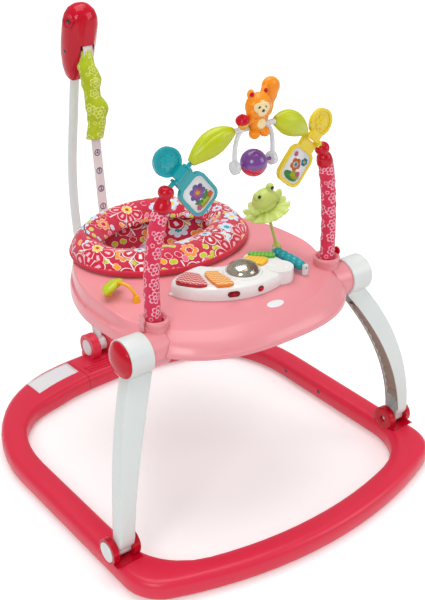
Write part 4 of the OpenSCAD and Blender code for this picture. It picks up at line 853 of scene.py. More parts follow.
def rounded(x, z, wide, tall, r, n=8):
    pts = []
    for i, (sx, sz) in enumerate(((1, 1), (-1, 1), (-1, -1), (1, -1))):
        for k in range(n + 1):
            t = math.pi / 2 * (i + k / n)
            pts.append((x + sx * (wide / 2 - r) + r * math.cos(t), z + sz * (tall / 2 - r) + r * math.sin(t)))
    return np.array(pts)


def plate(name, outline, place, low, high, edge=0.0):
    """Flat piece with an outline in a face's own axes, between two heights; edge rounds its rim."""
    mid = outline.mean(0)
    steps = [(1, low), (1, high)]
    if edge:
        steps = [(1, low), (1, high + edge * 0.6), (0.6, high + edge * 0.18), (0, high)]
    rings = []
    for share, y in steps:
        reach = np.linalg.norm(outline - mid, axis=1, keepdims=True)
        ring = mid + (outline - mid) * (1 - edge * (1 - share) / np.maximum(reach, edge + 0.1))
        rings.append([place(x, y, z) for x, z in ring])
    return loft(name, rings)


def flip_toy(side, name, lid_mat, picture):
    put = lambda x, y, z: flip_at(side, x, y, z)
    lid = lambda x, y, z: lid_at(side, x, y, z)
    card = plate(name + "_card", rounded(0, -58, 50, 60, 13), put, -2.9, CARD_Y)
    dress(card, PAPER, "tray")
    for i, (mat, outline) in enumerate(picture):
        y = CARD_Y - INK_STEP * i
        ink = plate("%s_print_%d" % (name, i), outline, put, y + 0.05, y - INK_STEP)
        dress(ink, mat, "tray")
    for part, outline, low, high, edge in (("flower", petals(0, 33, 15.5, 6, 0.34, 0.3), -1.9, -3.3, 1.2),
                                           ("heart", oval(0, 33, 5.2, 5.2), -3.2, -4.4, 1.0)):
        dress(plate(name + "_lid_" + part, outline, lid, low, high, edge), lid_mat, name + "_lid")


flip_toy(-1, "teal_flip", TEAL, [
    (INK_LIME, oval(0, -77, 20, 8)), (INK_GREEN, oval(9, -70, 9, 3.4, 35)),
    (INK_GREEN, oval(-9, -69, 9, 3.2, -35)), (INK_VIOLET, petals(0, -53, 17, 7)),
    (INK_PINK, petals(0, -53, 9, 7, 0.3, 0.4)), (INK_YELLOW, oval(0, -53, 4.2, 4.2)),
    (INK_ORANGE, petals(-15, -76, 6, 5)), (INK_PINK, petals(15, -77, 5.4, 5))])
flip_toy(1, "yellow_flip", YELLOW, [
    (INK_GREEN, oval(0, -78, 19, 8)), (INK_LIME, oval(9, -73, 12, 7)), (INK_ORANGE, petals(-3, -56, 13, 5)),
    (INK_PAPER, petals(-3, -56, 6.5, 5, 0.3, 0.6)), (INK_TEAL, oval(-3, -56, 3.4, 3.4)),
    (INK_TEAL, petals(13, -43, 8, 6)), (INK_YELLOW, oval(13, -43, 2.8, 2.8)),
    (INK_PINK, petals(14, -68, 5, 5)), (INK_PINK, petals(-16, -40, 5, 5))])


# Leaves between the flip toys and the middle
def leaf(side):
    ends = np.array(((126.3, -187.25, 711.5), (45, MID_Y, MID_Z)), float)
    mid = ends.mean(0) + (0, 0, 14)
    pts, radii = [], []
    for t in np.linspace(0, 1, 56):
        w = 7.5 + 15.5 * math.sin(math.pi * t) ** 0.9

        def wide(ang, w=w, t=t):
            away = [(ang - at + math.pi) % (2 * math.pi) - math.pi for at in (0.75, 1.75, 4.5, 5.5)]
            fold = sum(np.exp(-(q / 0.13) ** 2) for q in away)
            return w * (1 - 0.1 * math.sin(math.pi * t) * fold)

        pts.append(bend(ends[0], mid, ends[1], t) * (side, 1, 1))
        radii.append((wide, lambda ang, wide=wide: 0.78 * wide(ang)))
    return loft("left_leaf" if side < 0 else "right_leaf", tube_rings(pts, radii, 72, (0, 0, 1)))


for side in (-1, 1):
    dress(leaf(side), LIME, "tray", ["arch_leaves"])


# Squirrel: one rounded body with a big tail, its face and its nut
def by_mid(x, y, z):
    return (x, MID_Y + y, MID_Z + z)


HEAD, HEAD_R = np.array(by_mid(3, -6, 37)), np.array((25, 19, 23.5))
lumps = [(tuple(HEAD), tuple(HEAD_R)), (by_mid(-9, -9, 29), (14, 13, 12)), (by_mid(15, -9, 29), (13, 13, 12)),
         (by_mid(3, -3, 9), (17, 14, 20)), (by_mid(-8, -10, -9), (9.5, 11, 9)),
         (by_mid(14, -10, -9), (9.5, 11, 9)), (by_mid(-13, -5, 59), (7.5, 5.5, 9.5)),
         (by_mid(19, -3, 60), (7.5, 5.5, 9)), (by_mid(22, 7, 10), (13, 10, 15), 20, 0),
         (by_mid(31, 8, 28), (16, 10.5, 20), 16, 0), (by_mid(38, 9, 48), (18, 11.5, 20), 14, 0),
         (by_mid(42, 9, 60), (19, 12, 17), 25, 0), (by_mid(-18, -9, 15), (10, 7, 6.5))]
dress(blob("squirrel_body", lumps, 1.1, 24), ORANGE, "tray", ["squirrel"])
FACE = unit(np.array((-0.28, -0.95, 0.08)))
FACE_X = unit(np.cross(FACE, (0, 0, 1)))
FACE_Z = np.cross(FACE_X, FACE)


def on_face(u, v):
    """Point on the head and its outward line, u across and v up from the middle of the face."""
    d = unit(FACE + u / 24 * FACE_X + v / 24 * FACE_Z)
    return HEAD + d / np.linalg.norm(d / HEAD_R), unit(d / HEAD_R ** 2)


def button(name, where, out, r, high, mat, body="tray"):
    """Small domed disc standing on a surface."""
    steps = [(r, -1.5), (r, 0), (r * 0.95, high * 0.45), (r * 0.78, high * 0.8), (r * 0.4, high),
             (0.05, high * 1.03)]
    return dress(lathe(name, steps, where, out, 28), mat, body)


for i, (u, v, r, high, mat) in enumerate([
        (-8.5, 1, 8.6, 0.9, CREAM), (8.5, 1, 8.6, 0.9, CREAM), (0, -7.5, 9.4, 2.2, CREAM),
        (0, 11, 5.0, 0.7, CREAM), (-7, 1.5, 2.7, 1.9, BLACK), (7, 1.5, 2.7, 1.9, BLACK),
        (0, -4.6, 3.0, 4.2, BLACK)]):
    where, out = on_face(u, v)
    button("squirrel_face_%d" % i, where, out, r, high, mat)
button("squirrel_ear_left", by_mid(-14.4, -9.6, 60), (-0.3, -0.95, 0.2), 4.2, 0.9, RED_GLOSS)
button("squirrel_ear_right", by_mid(18, -7.6, 61), (-0.1, -0.98, 0.2), 4.2, 0.9, RED_GLOSS)
button("squirrel_belly", by_mid(3, -16, 8), (-0.1, -1, 0), 9, 1.4, CREAM)
NUT = by_mid(-34, -11, 17)
steps = [(0.1, -14), (5, -12.4), (8.8, -7), (10.2, -1), (9.6, 4), (7, 7), (0.1, 7.4)]
dress(lathe("nut_shell", steps, NUT, (-0.25, -0.1, 0.96), 32), AMBER, "tray")
steps = [(9.6, 0.6), (11.8, 0.6), (12.4, 3), (11.4, 7.4), (8, 10.6), (3, 12), (2.2, 15), (0.1, 15.4)]
dress(lathe("nut_cap", steps, NUT, (-0.25, -0.1, 0.96), 32), RED_GLOSS, "tray")


# Frog on its springy stalk
FROG_FOOT, FROG_LEAN = (158, -84.25, 439.3), math.radians(-18)
FROG_LEAF_R, FROG_LEAF_Z, FROG_LOBES = 47.5, 96.5, 11


def frog_at(x, y, z):
    c, s = math.cos(FROG_LEAN), math.sin(FROG_LEAN)
    return np.array((FROG_FOOT[0] + x * c + z * s, FROG_FOOT[1] + y, FROG_FOOT[2] - x * s + z * c))


disc = []
for share, low in ((0.05, 1.8), (0.5, 1.6), (0.96, 1.2), (1, 0.3), (0.99, -0.8), (0.94, -1.4), (0.5, -1.6),
                   (0.05, -1.8)):
    ring = petals(0, 0, FROG_LEAF_R, FROG_LOBES, 0.2) * share
    wave = 2.5 * np.cos(FROG_LOBES * np.arctan2(ring[:, 1], ring[:, 0])) * share
    disc.append([frog_at(x, y, FROG_LEAF_Z + low + h - 5 * share) for (x, y), h in zip(ring, wave)])
dress(loft("frog_leaf", disc), CLEAR_GREEN, "frog_toy", ["frog_toy"])
head = [(frog_at(0, 0, 116), (27, 20, 21), -18, 0), (frog_at(-17, -5, 135), (8.5, 8, 9)),
        (frog_at(16, -5, 136), (8.5, 8, 9)), (frog_at(0, -3, 102), (22, 16, 9), -18, 0),
        (frog_at(-29, -5, 104), (14, 7, 7.5), 12, 0), (frog_at(29, -5, 108), (8, 7, 15), 20, 0)]
dress(blob("frog_head", head, 1.2, 20), CLEAR_GREEN, "frog_toy")
for i, (x, z) in enumerate(((-17, 136), (16, 137))):
    button("frog_eye_%d" % i, frog_at(x, -12.6, z), (-0.2, -0.95, 0.2), 3.4, 1.4, BLACK, "frog_toy")
steps = [(9.3, -1), (9.0, 3), (6.5, 7), (4.2, 11), (3.3, 20), (3.0, 50), (3.2, 80), (5, 90), (9, 94.5),
         (10, 95.5)]
axis = frog_at(0, 0, 1) - frog_at(0, 0, 0)
dress(lathe("frog_stalk", steps, frog_at(0, 0, 0), axis, 24), CLEAR_GREEN, "frog_toy")


# Tray: flanged edge, a soft ledge along the front, and scooped flanks with a raised deck inside them
TRAY_CY, TRAY_HALF, TRAY_STEPS = DRUM_Y + 144, 252, 180
TRAY_AHEAD, TRAY_BEHIND = TRAY_CY - DRUM_Y + 118, DRUM_Y + 449 - TRAY_CY
MOUTH_X, MOUTH_Y = 172, 132
# How square the outline is in front and behind; degrees from straight back where the flanks begin and end,
# each with the run it blends over
SQUARE_AHEAD, SQUARE_BEHIND = 2.6, 1.75
FLANK_FROM, FLANK_TO, BLEND_FROM, BLEND_TO = 46, 114, 18, 16
# Radius, inner end and length of the holes for the drums and the legs' hubs
DRUM_HOLES = ((33.3, 198, 100), (41.5, 233, 60))
SOCKET_HOLE_R = 24.2
# Distance in from the edge, largest share of the way to the mouth, height at the front, height at the flanks
TRAY_RINGS = [(0, 0, 0, 0), (0, 0, 6, 7), (0.8, 0.012, 7.6, 10), (2, 0.03, 8.3, 13.5), (4, 0.055, 10, 17.2),
              (6.5, 0.085, 14.6, 19.8), (10, 0.12, 19, 20.6), (14, 0.155, 22.8, 19.6), (18, 0.19, 25.8, 19.6),
              (22, 0.225, 28.4, 22), (25, 0.25, 30.2, 27), (28, 0.275, 31.9, 34), (31, 0.295, 33.6, 40),
              (34, 0.32, 35.2, 43.4), (37, 0.34, 36.8, 44.7), (39, 0.355, 38, 45), (41, 0.37, 38.5, 45),
              (46, 0.4, 39.1, 45), (56, 0.46, 40.4, 45), (66, 0.53, 41.6, 45), (80, 0.6, 43.2, 45),
              (95, 0.68, 44.4, 45), (110, 0.75, 45, 45), (999, 1, 45, 45), (999, 1, 31, 31),
              (999, 0.97, 31, 31), (999, 0.97, 41.5, 41.5), (112, 0.76, 41.5, 41.5), (80, 0.6, 39.4, 41.5),
              (56, 0.46, 36.6, 41.4), (42, 0.375, 34.6, 41), (35, 0.33, 31.6, 38), (31, 0.295, 29.4, 30),
              (25, 0.25, 26, 19), (18, 0.19, 21.4, 16), (12, 0.14, 16.4, 16.4), (8, 0.1, 11, 15.6),
              (6, 0.08, 7, 12), (4.5, 0.062, 0, 0)]
a = turns(TRAY_STEPS)
ahead = np.sin(a) < 0
power = 2 / np.where(ahead, SQUARE_AHEAD, SQUARE_BEHIND)
reach = np.where(ahead, TRAY_AHEAD, TRAY_BEHIND)
signed = lambda v: np.sign(v) * np.abs(v) ** power
edge = np.stack([TRAY_HALF * signed(np.cos(a)), TRAY_CY + reach * signed(np.sin(a))], -1)
mouth = np.stack([MOUTH_X * np.cos(a), SEAT_Y + MOUTH_Y * np.sin(a)], -1)
away = np.linalg.norm(mouth - edge, axis=1)
side = np.abs((np.degrees(a) + 90) % 360 - 180)
flank = ease((side - FLANK_FROM) / BLEND_FROM) * ease((FLANK_TO - side) / BLEND_TO)
rings = []
for d, share, low, high in TRAY_RINGS:
    t = np.minimum(d / away, share)[:, None]
    z = LIP_Z + low * (1 - flank) + high * flank
    rings.append(np.concatenate([edge * (1 - t) + mouth * t, z[:, None]], 1))
tray = outward(loft("tray_moulding", rings, loop=True))
cutters = []
for s in (-1, 1):
    for r, x, long in DRUM_HOLES:
        cutters.append(lathe("cut", [(r, 0), (r, long)], (s * x, DRUM_Y, DRUM_Z), (s, 0, 0), 64))
    foot = (s * SOCKET_X, SOCKET_Y, LIP_Z - 20)
    cutters.append(lathe("cut", [(SOCKET_HOLE_R, 0), (SOCKET_HOLE_R, 100)], foot, (0, 0, 1), 64))
carve(tray, *cutters)
dress(tray, PINK, "tray", ["tray_shell"])

# Bowls round the sleeves' feet, open towards the latches
BOWL = [(20.5, -18), (22.4, -12), (24.6, -6), (26, 0), (26.4, 3.6), (25.6, 6), (23.6, 7), (21.2, 6.2),
        (19.2, 3), (18.2, -3), (17.6, -9)]
BOWL_OPEN_R = 22.4
for s, side in SIDES:
    rings = []
    t = turns(64)
    away = (t - (0 if s > 0 else math.pi) + math.pi) % (2 * math.pi) - math.pi
    beside = np.exp(-(np.abs(away) / 0.42) ** 4)
    for r, h in BOWL:
        k = r - np.maximum(0, r - BOWL_OPEN_R) * beside
        rings.append(np.stack([s * SOCKET_X + k * np.cos(t), SOCKET_Y + k * np.sin(t),
                               np.full_like(t, SOCKET_Z + h)], -1))
    dress(loft(side + "_socket_bowl", rings, caps=False), PINK, "tray")

# Domed caps on the legs' drums, and round faces with a screw hole on the front hinges
LENS_X, HUB_X, SCREW_X = 282, 316.5, 319
LENS = [(33.4, -0.6), (34.4, 0.4), (34.4, 1.6), (33, 3.6), (30, 6.2), (26, 8.6), (21, 10.8), (15, 12.6),
        (8, 13.7), (0.1, 14)]
SCREW = [(5.2, 0), (4.6, 1), (2.6, 1.3), (0.1, 1.3)]
HUB = [(24.2, -3), (25.4, -1), (25.4, 0.6), (24.2, 2), (21.5, 2.8), (8.6, 3.2), (7.2, 2.6), (6, 1),
       (5.4, -2.4), (0.1, -2.4)]
for s, side in SIDES:
    cap = lathe(side + "_leg_lens", LENS, (s * LENS_X, DRUM_Y, DRUM_Z), (s, 0, 0), 72)
    dress(cap, RED_GLOSS, side + "_leg", [side + "_leg_cap"])
    hub = lathe(side + "_hinge_face", HUB, (s * HUB_X, HINGE_Y, HINGE_Z), (-s, 0, 0), 64, False)
    dress(hub, RED_GLOSS, "base")
    screw = lathe(side + "_hinge_screw", SCREW, (s * SCREW_X, HINGE_Y, HINGE_Z), (-s, 0, 0), 32)
    dress(screw, STEEL, "base")

# Finials: a flared collar and a ball, leaning in towards the toys
FINIAL = [(13.6, -1), (15.2, 0.6), (15.6, 3), (15.2, 8), (14.2, 14), (12.6, 18.6), (10.2, 21), (9.6, 22.6),
          (10.6, 24.4), (13, 27.4), (14, 31.6), (13.4, 36.4), (11, 40.4), (6.6, 43.2), (0.1, 44)]
for s, side in SIDES:
    knob = lathe(side + "_finial", FINIAL, (s * ARM_TOP_X, ARCH_Y, COLLAR_Z + 2), (-s * 0.3, 0, 0.95), 48)
    dress(knob, RED_GLOSS, "tray", ["arm_finials"])


# Blank label and seam lines on the base tubes
def drop_on(name, pts, lift):
    """Points moved straight down onto a solid of the frame, then raised a little."""
    tree = surface(nodes[name])
    out = []
    for x, y in pts:
        hit = tree.ray_cast(Vector((x * MM, y * MM, 1)), Vector((0, 0, -1)))[0]
        out.append((x, y, hit.z / MM + lift))
    return np.array(out)


LABEL_BOW, LABEL_LIFT = np.array((0, 4)), 0.35
corners = np.array(((-203, 341), (-200, 287), (-84, 313), (-86, 362)), float)
rows = []
for k in np.linspace(0, 1, 13):
    far = corners[0] * (1 - k) + corners[3] * k + LABEL_BOW * math.sin(math.pi * k)
    near = corners[1] * (1 - k) + corners[2] * k + LABEL_BOW * math.sin(math.pi * k)
    rows.append(drop_on("base_left_tube", [far * (1 - j) + near * j for j in np.linspace(0, 1, 9)],
                        LABEL_LIFT))
label = loft("blank_label", rows, wrap=False)
thicken(label, 0.0002, 0)
dress(label, PAPER, "base")


def seam(name, node, at, normal):
    """Dark line round a tube where a plane cuts it."""
    b = bmesh.new()
    b.from_mesh(nodes[node].data)
    bmesh.ops.remove_doubles(b, verts=b.verts, dist=1e-5)
    bmesh.ops.bisect_plane(b, geom=b.verts[:] + b.edges[:] + b.faces[:], plane_co=Vector(at) * MM,
                           plane_no=Vector(normal), clear_inner=True, clear_outer=True)
    b.verts.index_update()
    loops, left = [], set(b.verts)
    while left:
        v = min(left, key=lambda q: q.index)
        left.discard(v)
        line = [v]
        while True:
            ahead = [e.other_vert(v) for e in v.link_edges if e.other_vert(v) in left]
            if not ahead:
                break
            v = ahead[0]
            left.discard(v)
            line.append(v)
        loops.append(np.array([v.co for v in line]) / MM)
    b.free()
    line = max(loops, key=lambda q: np.ptp(q, axis=0).sum())
    n, mid = unit(np.asarray(normal, float)), (line.min(0) + line.max(0)) / 2
    rings = []
    for w, grow in ((-0.6, -0.6), (-0.6, 0.15), (0.6, 0.15), (0.6, -0.6)):
        out = (line - mid) / np.linalg.norm(line - mid, axis=1, keepdims=True)
        rings.append(line + n * w + out * grow)
    dress(loft(name, rings, caps=False), DARK_RED, "base")


for s, side in SIDES:
    seam("rear_seam_" + side, "base_%s_tube" % side, (78 * s, 332, 22), (1, -0.06 * s, 0))

# Blank badge on the front of the deck
BADGE = np.array((17, -246, 425.6))
badge_x, badge_y = np.array((1.0, 0, 0)), unit(np.array((0, 1, 0.1)))
badge = lambda x, y, z: BADGE + x * badge_x + z * badge_y - y * np.cross(badge_x, badge_y)
dress(plate("blank_badge", oval(0, 0, 18.5, 10.5), badge, 1.5, -1.2, 1.4), PAPER, "tray")

# Console: a smooth crescent with a rounded nose
CONSOLE = np.array((21.0, DRUM_Y + 139, DECK_Z + 0.3))
CONSOLE_H, CONSOLE_IN, CONSOLE_OUT, CONSOLE_SIDE = 26, 60, 157, 88
# Angles where the nose begins and how far it runs, then the tail's
NOSE_AT, NOSE_RUN, TAIL_AT, TAIL_RUN = 214, 17.5, 312, 8
# Half width and half depth that the pad takes up beside it
PAD_ROOM_X, PAD_ROOM_Y = 199, 159


def polar(r, deg, z):
    t = math.radians(deg)
    return CONSOLE + (r * math.cos(t), r * math.sin(t), z)


def past_pad(deg):
    """Distance from the console's centre to the pad's edge."""
    r = np.arange(40, 200, 0.25)
    x = CONSOLE[0] + r * math.cos(math.radians(deg))
    y = CONSOLE[1] + r * math.sin(math.radians(deg)) - SEAT_Y
    return r[np.argmax((x / PAD_ROOM_X) ** 2 + (y / PAD_ROOM_Y) ** 2 > 1)]


rings = []
for deg in np.concatenate([np.linspace(196.5, 214, 24), np.linspace(216, 300, 43),
                           np.linspace(301.5, 320, 20)]):
    low, high = max(CONSOLE_IN, past_pad(deg) + 1), CONSOLE_OUT
    if deg > 270:
        high = min(high, CONSOLE_SIDE / math.cos(math.radians(deg)))
    nose, tail = max(0, (NOSE_AT - deg) / NOSE_RUN), max(0, (deg - TAIL_AT) / TAIL_RUN)
    taper = math.sqrt(max(0.002, 1 - max(nose, tail) ** 2))
    mid, half = (low + high) / 2 + 5 * nose, max(1.0, (high - low) / 2 * taper)
    h = CONSOLE_H * (0.62 + 0.38 * math.sqrt(max(0, 1 - max(nose, tail * 0.8) ** 2)))
    squeeze = min(1, half / 16)
    inner = [(0.6, 0), (0, 2.5), (0, h - 8), (1.2, h - 4), (4, h - 1.2), (8, h - 0.2)]
    outer = [(12, h), (7, h - 0.8), (3, h - 3.2), (0.9, h - 7.5), (0, h - 13), (0, 2.5), (0.6, 0)]
    flat = [(-half + x * squeeze, z) for x, z in inner]
    flat += [((-half + 8 * squeeze) * (1 - k) + (half - 12 * squeeze) * k, h) for k in (0.25, 0.5, 0.75)]
    flat += [(half - x * squeeze, z) for x, z in outer]
    rings.append([polar(mid + x, deg, z) for x, z in flat])
console = loft("console_moulding", rings)
shade(console)
dress(console, CONSOLE_WHITE, "tray", ["console_shell"])


def key_cap(name, mat, r0, r1, a0, a1, lean0=0.0, lean1=0.0):
    """Rounded piano key between two radii and two angles; its sides lean by degrees per millimetre."""
    n = 64
    t = turns(n)
    u = np.sign(np.cos(t)) * np.abs(np.cos(t)) ** 0.5
    w = np.sign(np.sin(t)) * np.abs(np.sin(t)) ** 0.5
    mid, half, am, ah = (r0 + r1) / 2, (r1 - r0) / 2, (a0 + a1) / 2, (a1 - a0) / 2
    rings, flat = [], []
    for share, z in ((1, -3), (1, 3.4), (0.985, 4.6), (0.95, 5.4), (0.88, 5.9), (0.7, 6.3), (0.4, 6.6),
                     (0.04, 6.7)):
        lean = [half * share * x * (lean0 if y < 0 else lean1) * abs(y) for x, y in zip(u, w)]
        rings.append([polar(mid + half * share * x, am + ah * share * y + k, CONSOLE_H + z)
                      for x, y, k in zip(u, w, lean)])
        flat.append([((half * share * x + 50) * MM, math.radians(ah * share * y) * mid * MM)
                     for x, y in zip(u, w)])
    obj = loft(name + "_cap", rings)
    m = len(rings)
    uv = [p for i in range(m - 1) for j in range(n) for p in
          (flat[i][j], flat[i][(j + 1) % n], flat[i + 1][(j + 1) % n], flat[i + 1][j])]
    uv += [flat[0][j] for j in range(n - 1, -1, -1)] + [flat[m - 1][j] for j in range(n)]
    obj.data.uv_layers[0].data.foreach_set("uv", np.asarray(uv, np.float32).ravel())
    return dress(obj, mat, name, [name])


for name, hue, ground, line, place in (
        ("red", "red", (186, 16, 34), (242, 178, 172), (106, 152, 204.5, 226, 0, 0.24)),
        ("orange", "orange", (240, 132, 36), (252, 208, 130), (92, 151, 228.5, 245, 0.24, 0.2)),
        ("yellow", "amber", (244, 184, 24), (250, 208, 66), (70, 114, 284.5, 303.5, 0.1, 0.1)),
        ("green", "green", (84, 176, 40), (130, 205, 70), (70, 122, 305.5, 316, 0.1, 0))):
    key_cap(name + "_key", zigzag(hue + "_zigzag", ground, line), *place)

# Dome: a clear bubble over a mirrored bowl, in a raised white collar
DOME = np.array((13.0, CONSOLE[1] - 103, CONSOLE[2] + CONSOLE_H))
steps = [(31.5, -1), (31.3, 3), (29.8, 8), (27, 12.5), (22.5, 16.4), (16.5, 19.4), (9, 21.2), (0.1, 21.8)]
dress(lathe("dome_bubble", steps, DOME, (0, 0, 1), 56), BUBBLE, "tray", ["mirror_dome"])
# The mirror bowl carries a painted reflection, darker towards one side
steps = [(28, -1), (27.6, 3), (25.4, 8), (21.5, 12), (15.5, 15.4), (8, 17.4), (0.1, 18)]
dress(lathe("dome_mirror", steps, DOME, (0, 0, 1), 56), MIRROR_PAINTED_REFLECTION, "tray")
steps = [(31.6, 2), (31.8, 3.6), (33.4, 4.4), (35.6, 3.2), (37.6, 0.6), (38.4, -2)]
dress(lathe("dome_collar", steps, DOME, (0, 0, 1), 64, False), CONSOLE_WHITE, "tray")

# Dark wells round the console's two controls
for name, deg, half in (("volume_well", 247, 11.5), ("mode_well", 267, 6.2)):
    out = np.array((math.cos(math.radians(deg)), math.sin(math.radians(deg)), 0))
    along = np.array((-out[1], out[0], 0))
    face = (lambda x, y, z, out=out, along=along, deg=deg:
            polar(CONSOLE_OUT, deg, CONSOLE_H / 2 + z) + x * along - y * out)
    hole = rounded(0, 0, 2 * half, 11.5, 5.7)
    rim = [[face(x * k, y, z * k) for x, z in hole]
           for k, y in ((1, 0.6), (1, -0.5), (0.93, -0.8), (0.8, -0.4), (0.76, -0.2))]
    dress(loft(name, rim), DARK_RED, "tray")


# Strap with its marks, and the gathered sleeve over the spring
foot, top = np.array(STRAP_FOOT, float), np.array(STRAP_TOP, float)
up = unit(top - foot)
across = np.array((1.0, 0, 0))
front = np.cross(across, up)
RUN = float(np.linalg.norm(top - foot))
SLEEVE_L, SLEEVE_GAP = 184, 1.5
RING_IN, RING_OUT, NUMBER_TALL = 5.4, 7.2, 0.0118


def on_strap(x, z, out=0.0):
    return foot + x * across + z * up + out * front


rings = []
for z in np.linspace(-16, RUN - SLEEVE_L + 18, 60):
    section = [(-11, 0.6), (-10.4, 1), (-5, 0.85), (5, 0.85), (10.4, 1), (11, 0.6), (11, -0.6), (10.4, -1),
               (5, -0.85), (-5, -0.85), (-10.4, -1), (-11, -0.6)]
    rings.append([on_strap(x, z, y) for x, y in section])
dress(loft("strap_webbing", rings), WEB, "strap", ["strap"])


def strap_mark(number, z):
    """A number in a ring, printed on the strap."""
    n = 28
    ang = turns(n)
    flat = [[on_strap(r * math.cos(t), z + r * math.sin(t), h) for t in ang]
            for r, h in ((RING_IN, 1.15), (RING_IN, 1.3), (RING_OUT, 1.3), (RING_OUT, 1.15))]
    dress(loft("strap_ring_%s" % number, flat, loop=True), PURPLE, "strap")
    curve = bpy.data.curves.new("strap_number_%s" % number, "FONT")
    curve.body = number
    curve.size = NUMBER_TALL
    curve.align_x = curve.align_y = "CENTER"
    curve.extrude = 0.00005
    curve.offset = 0.00035
    text = bpy.data.objects.new(curve.name, curve)
    scene.collection.objects.link(text)
    basis = np.stack([across, up, front], 1)
    place = Matrix.Identity(4)
    for r in range(3):
        for c in range(3):
            place[r][c] = basis[r][c]
        place[r][3] = on_strap(0, z, 1.22)[r] * MM
    text.matrix_world = place
    dress(text, PURPLE, "strap")


for number, z in (("4", 175), ("3", 135.5), ("2", 96), ("1", 56.5)):
    strap_mark(number, z)


# Share of the sleeve's length from its lower end, radius there and shift to the side
SLEEVE = ((0, 19, -1), (0.05, 19.4, 0), (0.13, 19.6, 5), (0.21, 20.8, 9), (0.29, 24, 11), (0.36, 24.6, 11),
          (0.42, 21, 7.5), (0.46, 18.4, 4.5), (0.53, 17.6, 2), (0.6, 20.4, 3), (0.675, 22.6, 4.6),
          (0.75, 20.6, 1), (0.825, 19.6, -3.4), (0.89, 15.4, -2), (0.94, 12.6, 0), (1, 11.4, 0))


def sleeve_ring(t, n=48):
    at, wide, shift = np.array(SLEEVE).T
    r, sway = (float(np.mean(np.interp(np.clip(t + np.linspace(-0.03, 0.03, 9), 0, 1), at, q)))
               for q in (wide, shift))
    z = RUN - SLEEVE_GAP - (SLEEVE_L - SLEEVE_GAP) * (1 - t)
    ang = turns(n)
    pinch = math.exp(-((t - 0.44) / 0.03) ** 2)
    crease = 1 + 0.03 * np.sin(3 * ang + 30 * t) + 0.025 * np.sin(5 * ang - 52 * t)
    crease = crease + 0.05 * pinch * np.sin(2 * ang + 1)
    lift = 3.2 * np.sin(ang + 8 * t) * (1 - abs(2 * t - 1))
    return [on_strap(sway + r * c * math.cos(q), z + l, -0.85 * r * c * math.sin(q))
            for q, c, l in zip(ang, crease, lift)]


obj = loft("strap_sleeve_fabric", [sleeve_ring(i / 90) for i in range(91)], caps=False)
thicken(obj, SLEEVE_THICK)
dress(obj, LIME_CLOTH, "rear_post", ["strap_sleeve"])

# Head: one smooth closed egg with a slot for the strap, a round boss and a screw hole
b = bmesh.new()
for v in nodes["head_shells"].data.vertices:
    b.verts.new(v.co)
bmesh.ops.remove_doubles(b, verts=b.verts, dist=WELD)
bmesh.ops.convex_hull(b, input=b.verts)
bmesh.ops.delete(b, geom=[v for v in b.verts if not v.link_faces], context="VERTS")
mesh = bpy.data.meshes.new("hull")
b.to_mesh(mesh)
b.free()
head_egg = outward(add("head_moulding", [v.co / MM for v in mesh.vertices],
                       [tuple(f.vertices) for f in mesh.polygons]))
bpy.data.meshes.remove(mesh)
slot = []
for z in (RUN - 95, RUN + 9):
    slot.append([on_strap(x, z, y) for x, y in ((-16, 70), (-16, 0), (-13, -3), (13, -3), (16, 0), (16, 70))])
carve(head_egg, loft("cut", slot))
dress(head_egg, RED_GLOSS, "rear_post", ["head_shells"])
BOSS_AT, BOSS_OUT = (-33.2, 350.9, 827), (-0.98, -0.13, 0.16)
SCREW_AT, SCREW_OUT = (-34.2, 369.8, 762.2), (-0.99, -0.08, -0.07)
BOSS = [(15, -2), (15, 0.6), (13.6, 1.4), (11.6, 0.6), (6, -0.4), (5.4, -2)]
dress(lathe("head_boss", BOSS, BOSS_AT, BOSS_OUT, 48, False), RED_GLOSS, "rear_post")
# Black discs as painted shade in the boss's hole and in the screw hole
for name, steps, at, out in (("head_boss_hole_shade", [(5.6, -0.6), (5.2, 0.3), (0.1, 0.2)], BOSS_AT, BOSS_OUT),
                             ("head_screw_hole_shade", [(3.8, -0.6), (3.6, 0.5), (0.1, 0.4)], SCREW_AT, SCREW_OUT)):
    dress(lathe(name, steps, at, out, 32), BLACK, "rear_post")
band = [[on_strap(x, z, y + 7) for x, y in ((-11, 0.8), (11, 0.8), (11, -0.8), (-11, -0.8))]
        for z in np.linspace(RUN - 14, RUN + 8, 8)]
dress(loft("slot_webbing", band), WEB, "rear_post")

# Ragged leaf on the bead arch: long across the arch, thin away from it
BEAD = np.array((-204, -48, 452.0))
LEAF_LONG, LEAF_WIDE, LEAF_THICK, LEAF_DROOP = 29, 15, 8.5, 3.5
LEAF_X = unit(np.array((0.88, 0.48, 0)))
LEAF_Y = unit(np.array((0.46, -0.84, 0.28)))
LEAF_Z = np.cross(LEAF_Y, LEAF_X)
turn = turns(40)
rings = []
for t in np.linspace(-0.985, 0.985, 57):
    bulge = math.sqrt(1 - t * t)
    ragged = 1 + 0.13 * abs(math.sin(9 * math.pi * t / 2)) - 0.08
    wide, thick = LEAF_WIDE * bulge * ragged, LEAF_THICK * bulge ** 0.7
    vein = 1 - 0.16 * np.exp(-((np.abs(np.sin(turn)) - 1) / 0.06) ** 2)
    droop = LEAF_DROOP * t * t
    rings.append(BEAD + LEAF_X * LEAF_LONG * t - LEAF_Z * droop + np.outer(wide * np.cos(turn), LEAF_Y)
                 + np.outer(thick * vein * np.sin(turn), LEAF_Z))
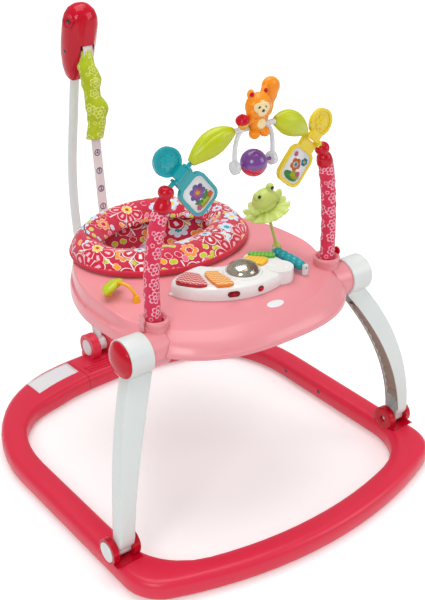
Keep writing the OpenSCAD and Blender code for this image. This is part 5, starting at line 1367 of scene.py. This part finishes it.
dress(loft("bead_leaf", rings), LIME, "leaf_bead", ["leaf_bead"])

# Floor and light
FLOOR = 6000
corners = [(x * FLOOR, y * FLOOR, 0) for x, y in ((-1, -1), (1, -1), (1, 1), (-1, 1))]
floor = add("floor", corners, [(0, 1, 2, 3)])
g = Graph("floor", Roughness=0.9)
g.set("Base Color", g.mix(g.noise(g.coords(), 3), linear((246, 246, 246)), linear((249, 249, 249))))
path = g.tree.nodes.new("ShaderNodeLightPath")
seen = g.math("MAXIMUM", g.math("MAXIMUM", path.outputs["Is Camera Ray"], path.outputs["Is Glossy Ray"]),
              path.outputs["Is Transmission Ray"])
g.set("Emission Color", (1, 1, 1, 1))
far = g.node("VectorMath", {0: g.coords()}, "Value", operation="LENGTH")
glow = g.node("MapRange", {0: far, 1: 0.7, 2: 2.4, 3: 0.26, 4: 0.66})
g.set("Emission Strength", g.math("MULTIPLY", seen, glow))
floor.data.materials.append(g.mat)

world = bpy.data.worlds.new("studio")
world.use_nodes = True
scene.world = world
w = world.node_tree
sky = w.nodes["Background"]
path = w.nodes.new("ShaderNodeLightPath")
strength = w.nodes.new("ShaderNodeMix")
strength.inputs[2].default_value, strength.inputs[3].default_value = 0.42, 1.0
w.links.new(path.outputs["Is Camera Ray"], strength.inputs[0])
w.links.new(strength.outputs[0], sky.inputs["Strength"])
sky.inputs["Color"].default_value = (1, 1, 1, 1)


def lamp(name, at, aim, size, watts):
    data = bpy.data.lights.new(name, "AREA")
    data.shape, data.size, data.energy = "SQUARE", size, watts
    o = bpy.data.objects.new(name, data)
    scene.collection.objects.link(o)
    o.location = at
    o.rotation_euler = (Vector(aim) - Vector(at)).to_track_quat("-Z", "Y").to_euler()


lamp("overhead", (0.1, 0.3, 2.9), (0, 0, 0.3), 2.2, 42)
lamp("key", (-2.2, -1.6, 2.0), (0, 0, 0.35), 1.2, 26)
lamp("fill", (1.9, -2.0, 1.6), (0, 0, 0.35), 1.4, 16)

scene.view_settings.view_transform = "Standard"
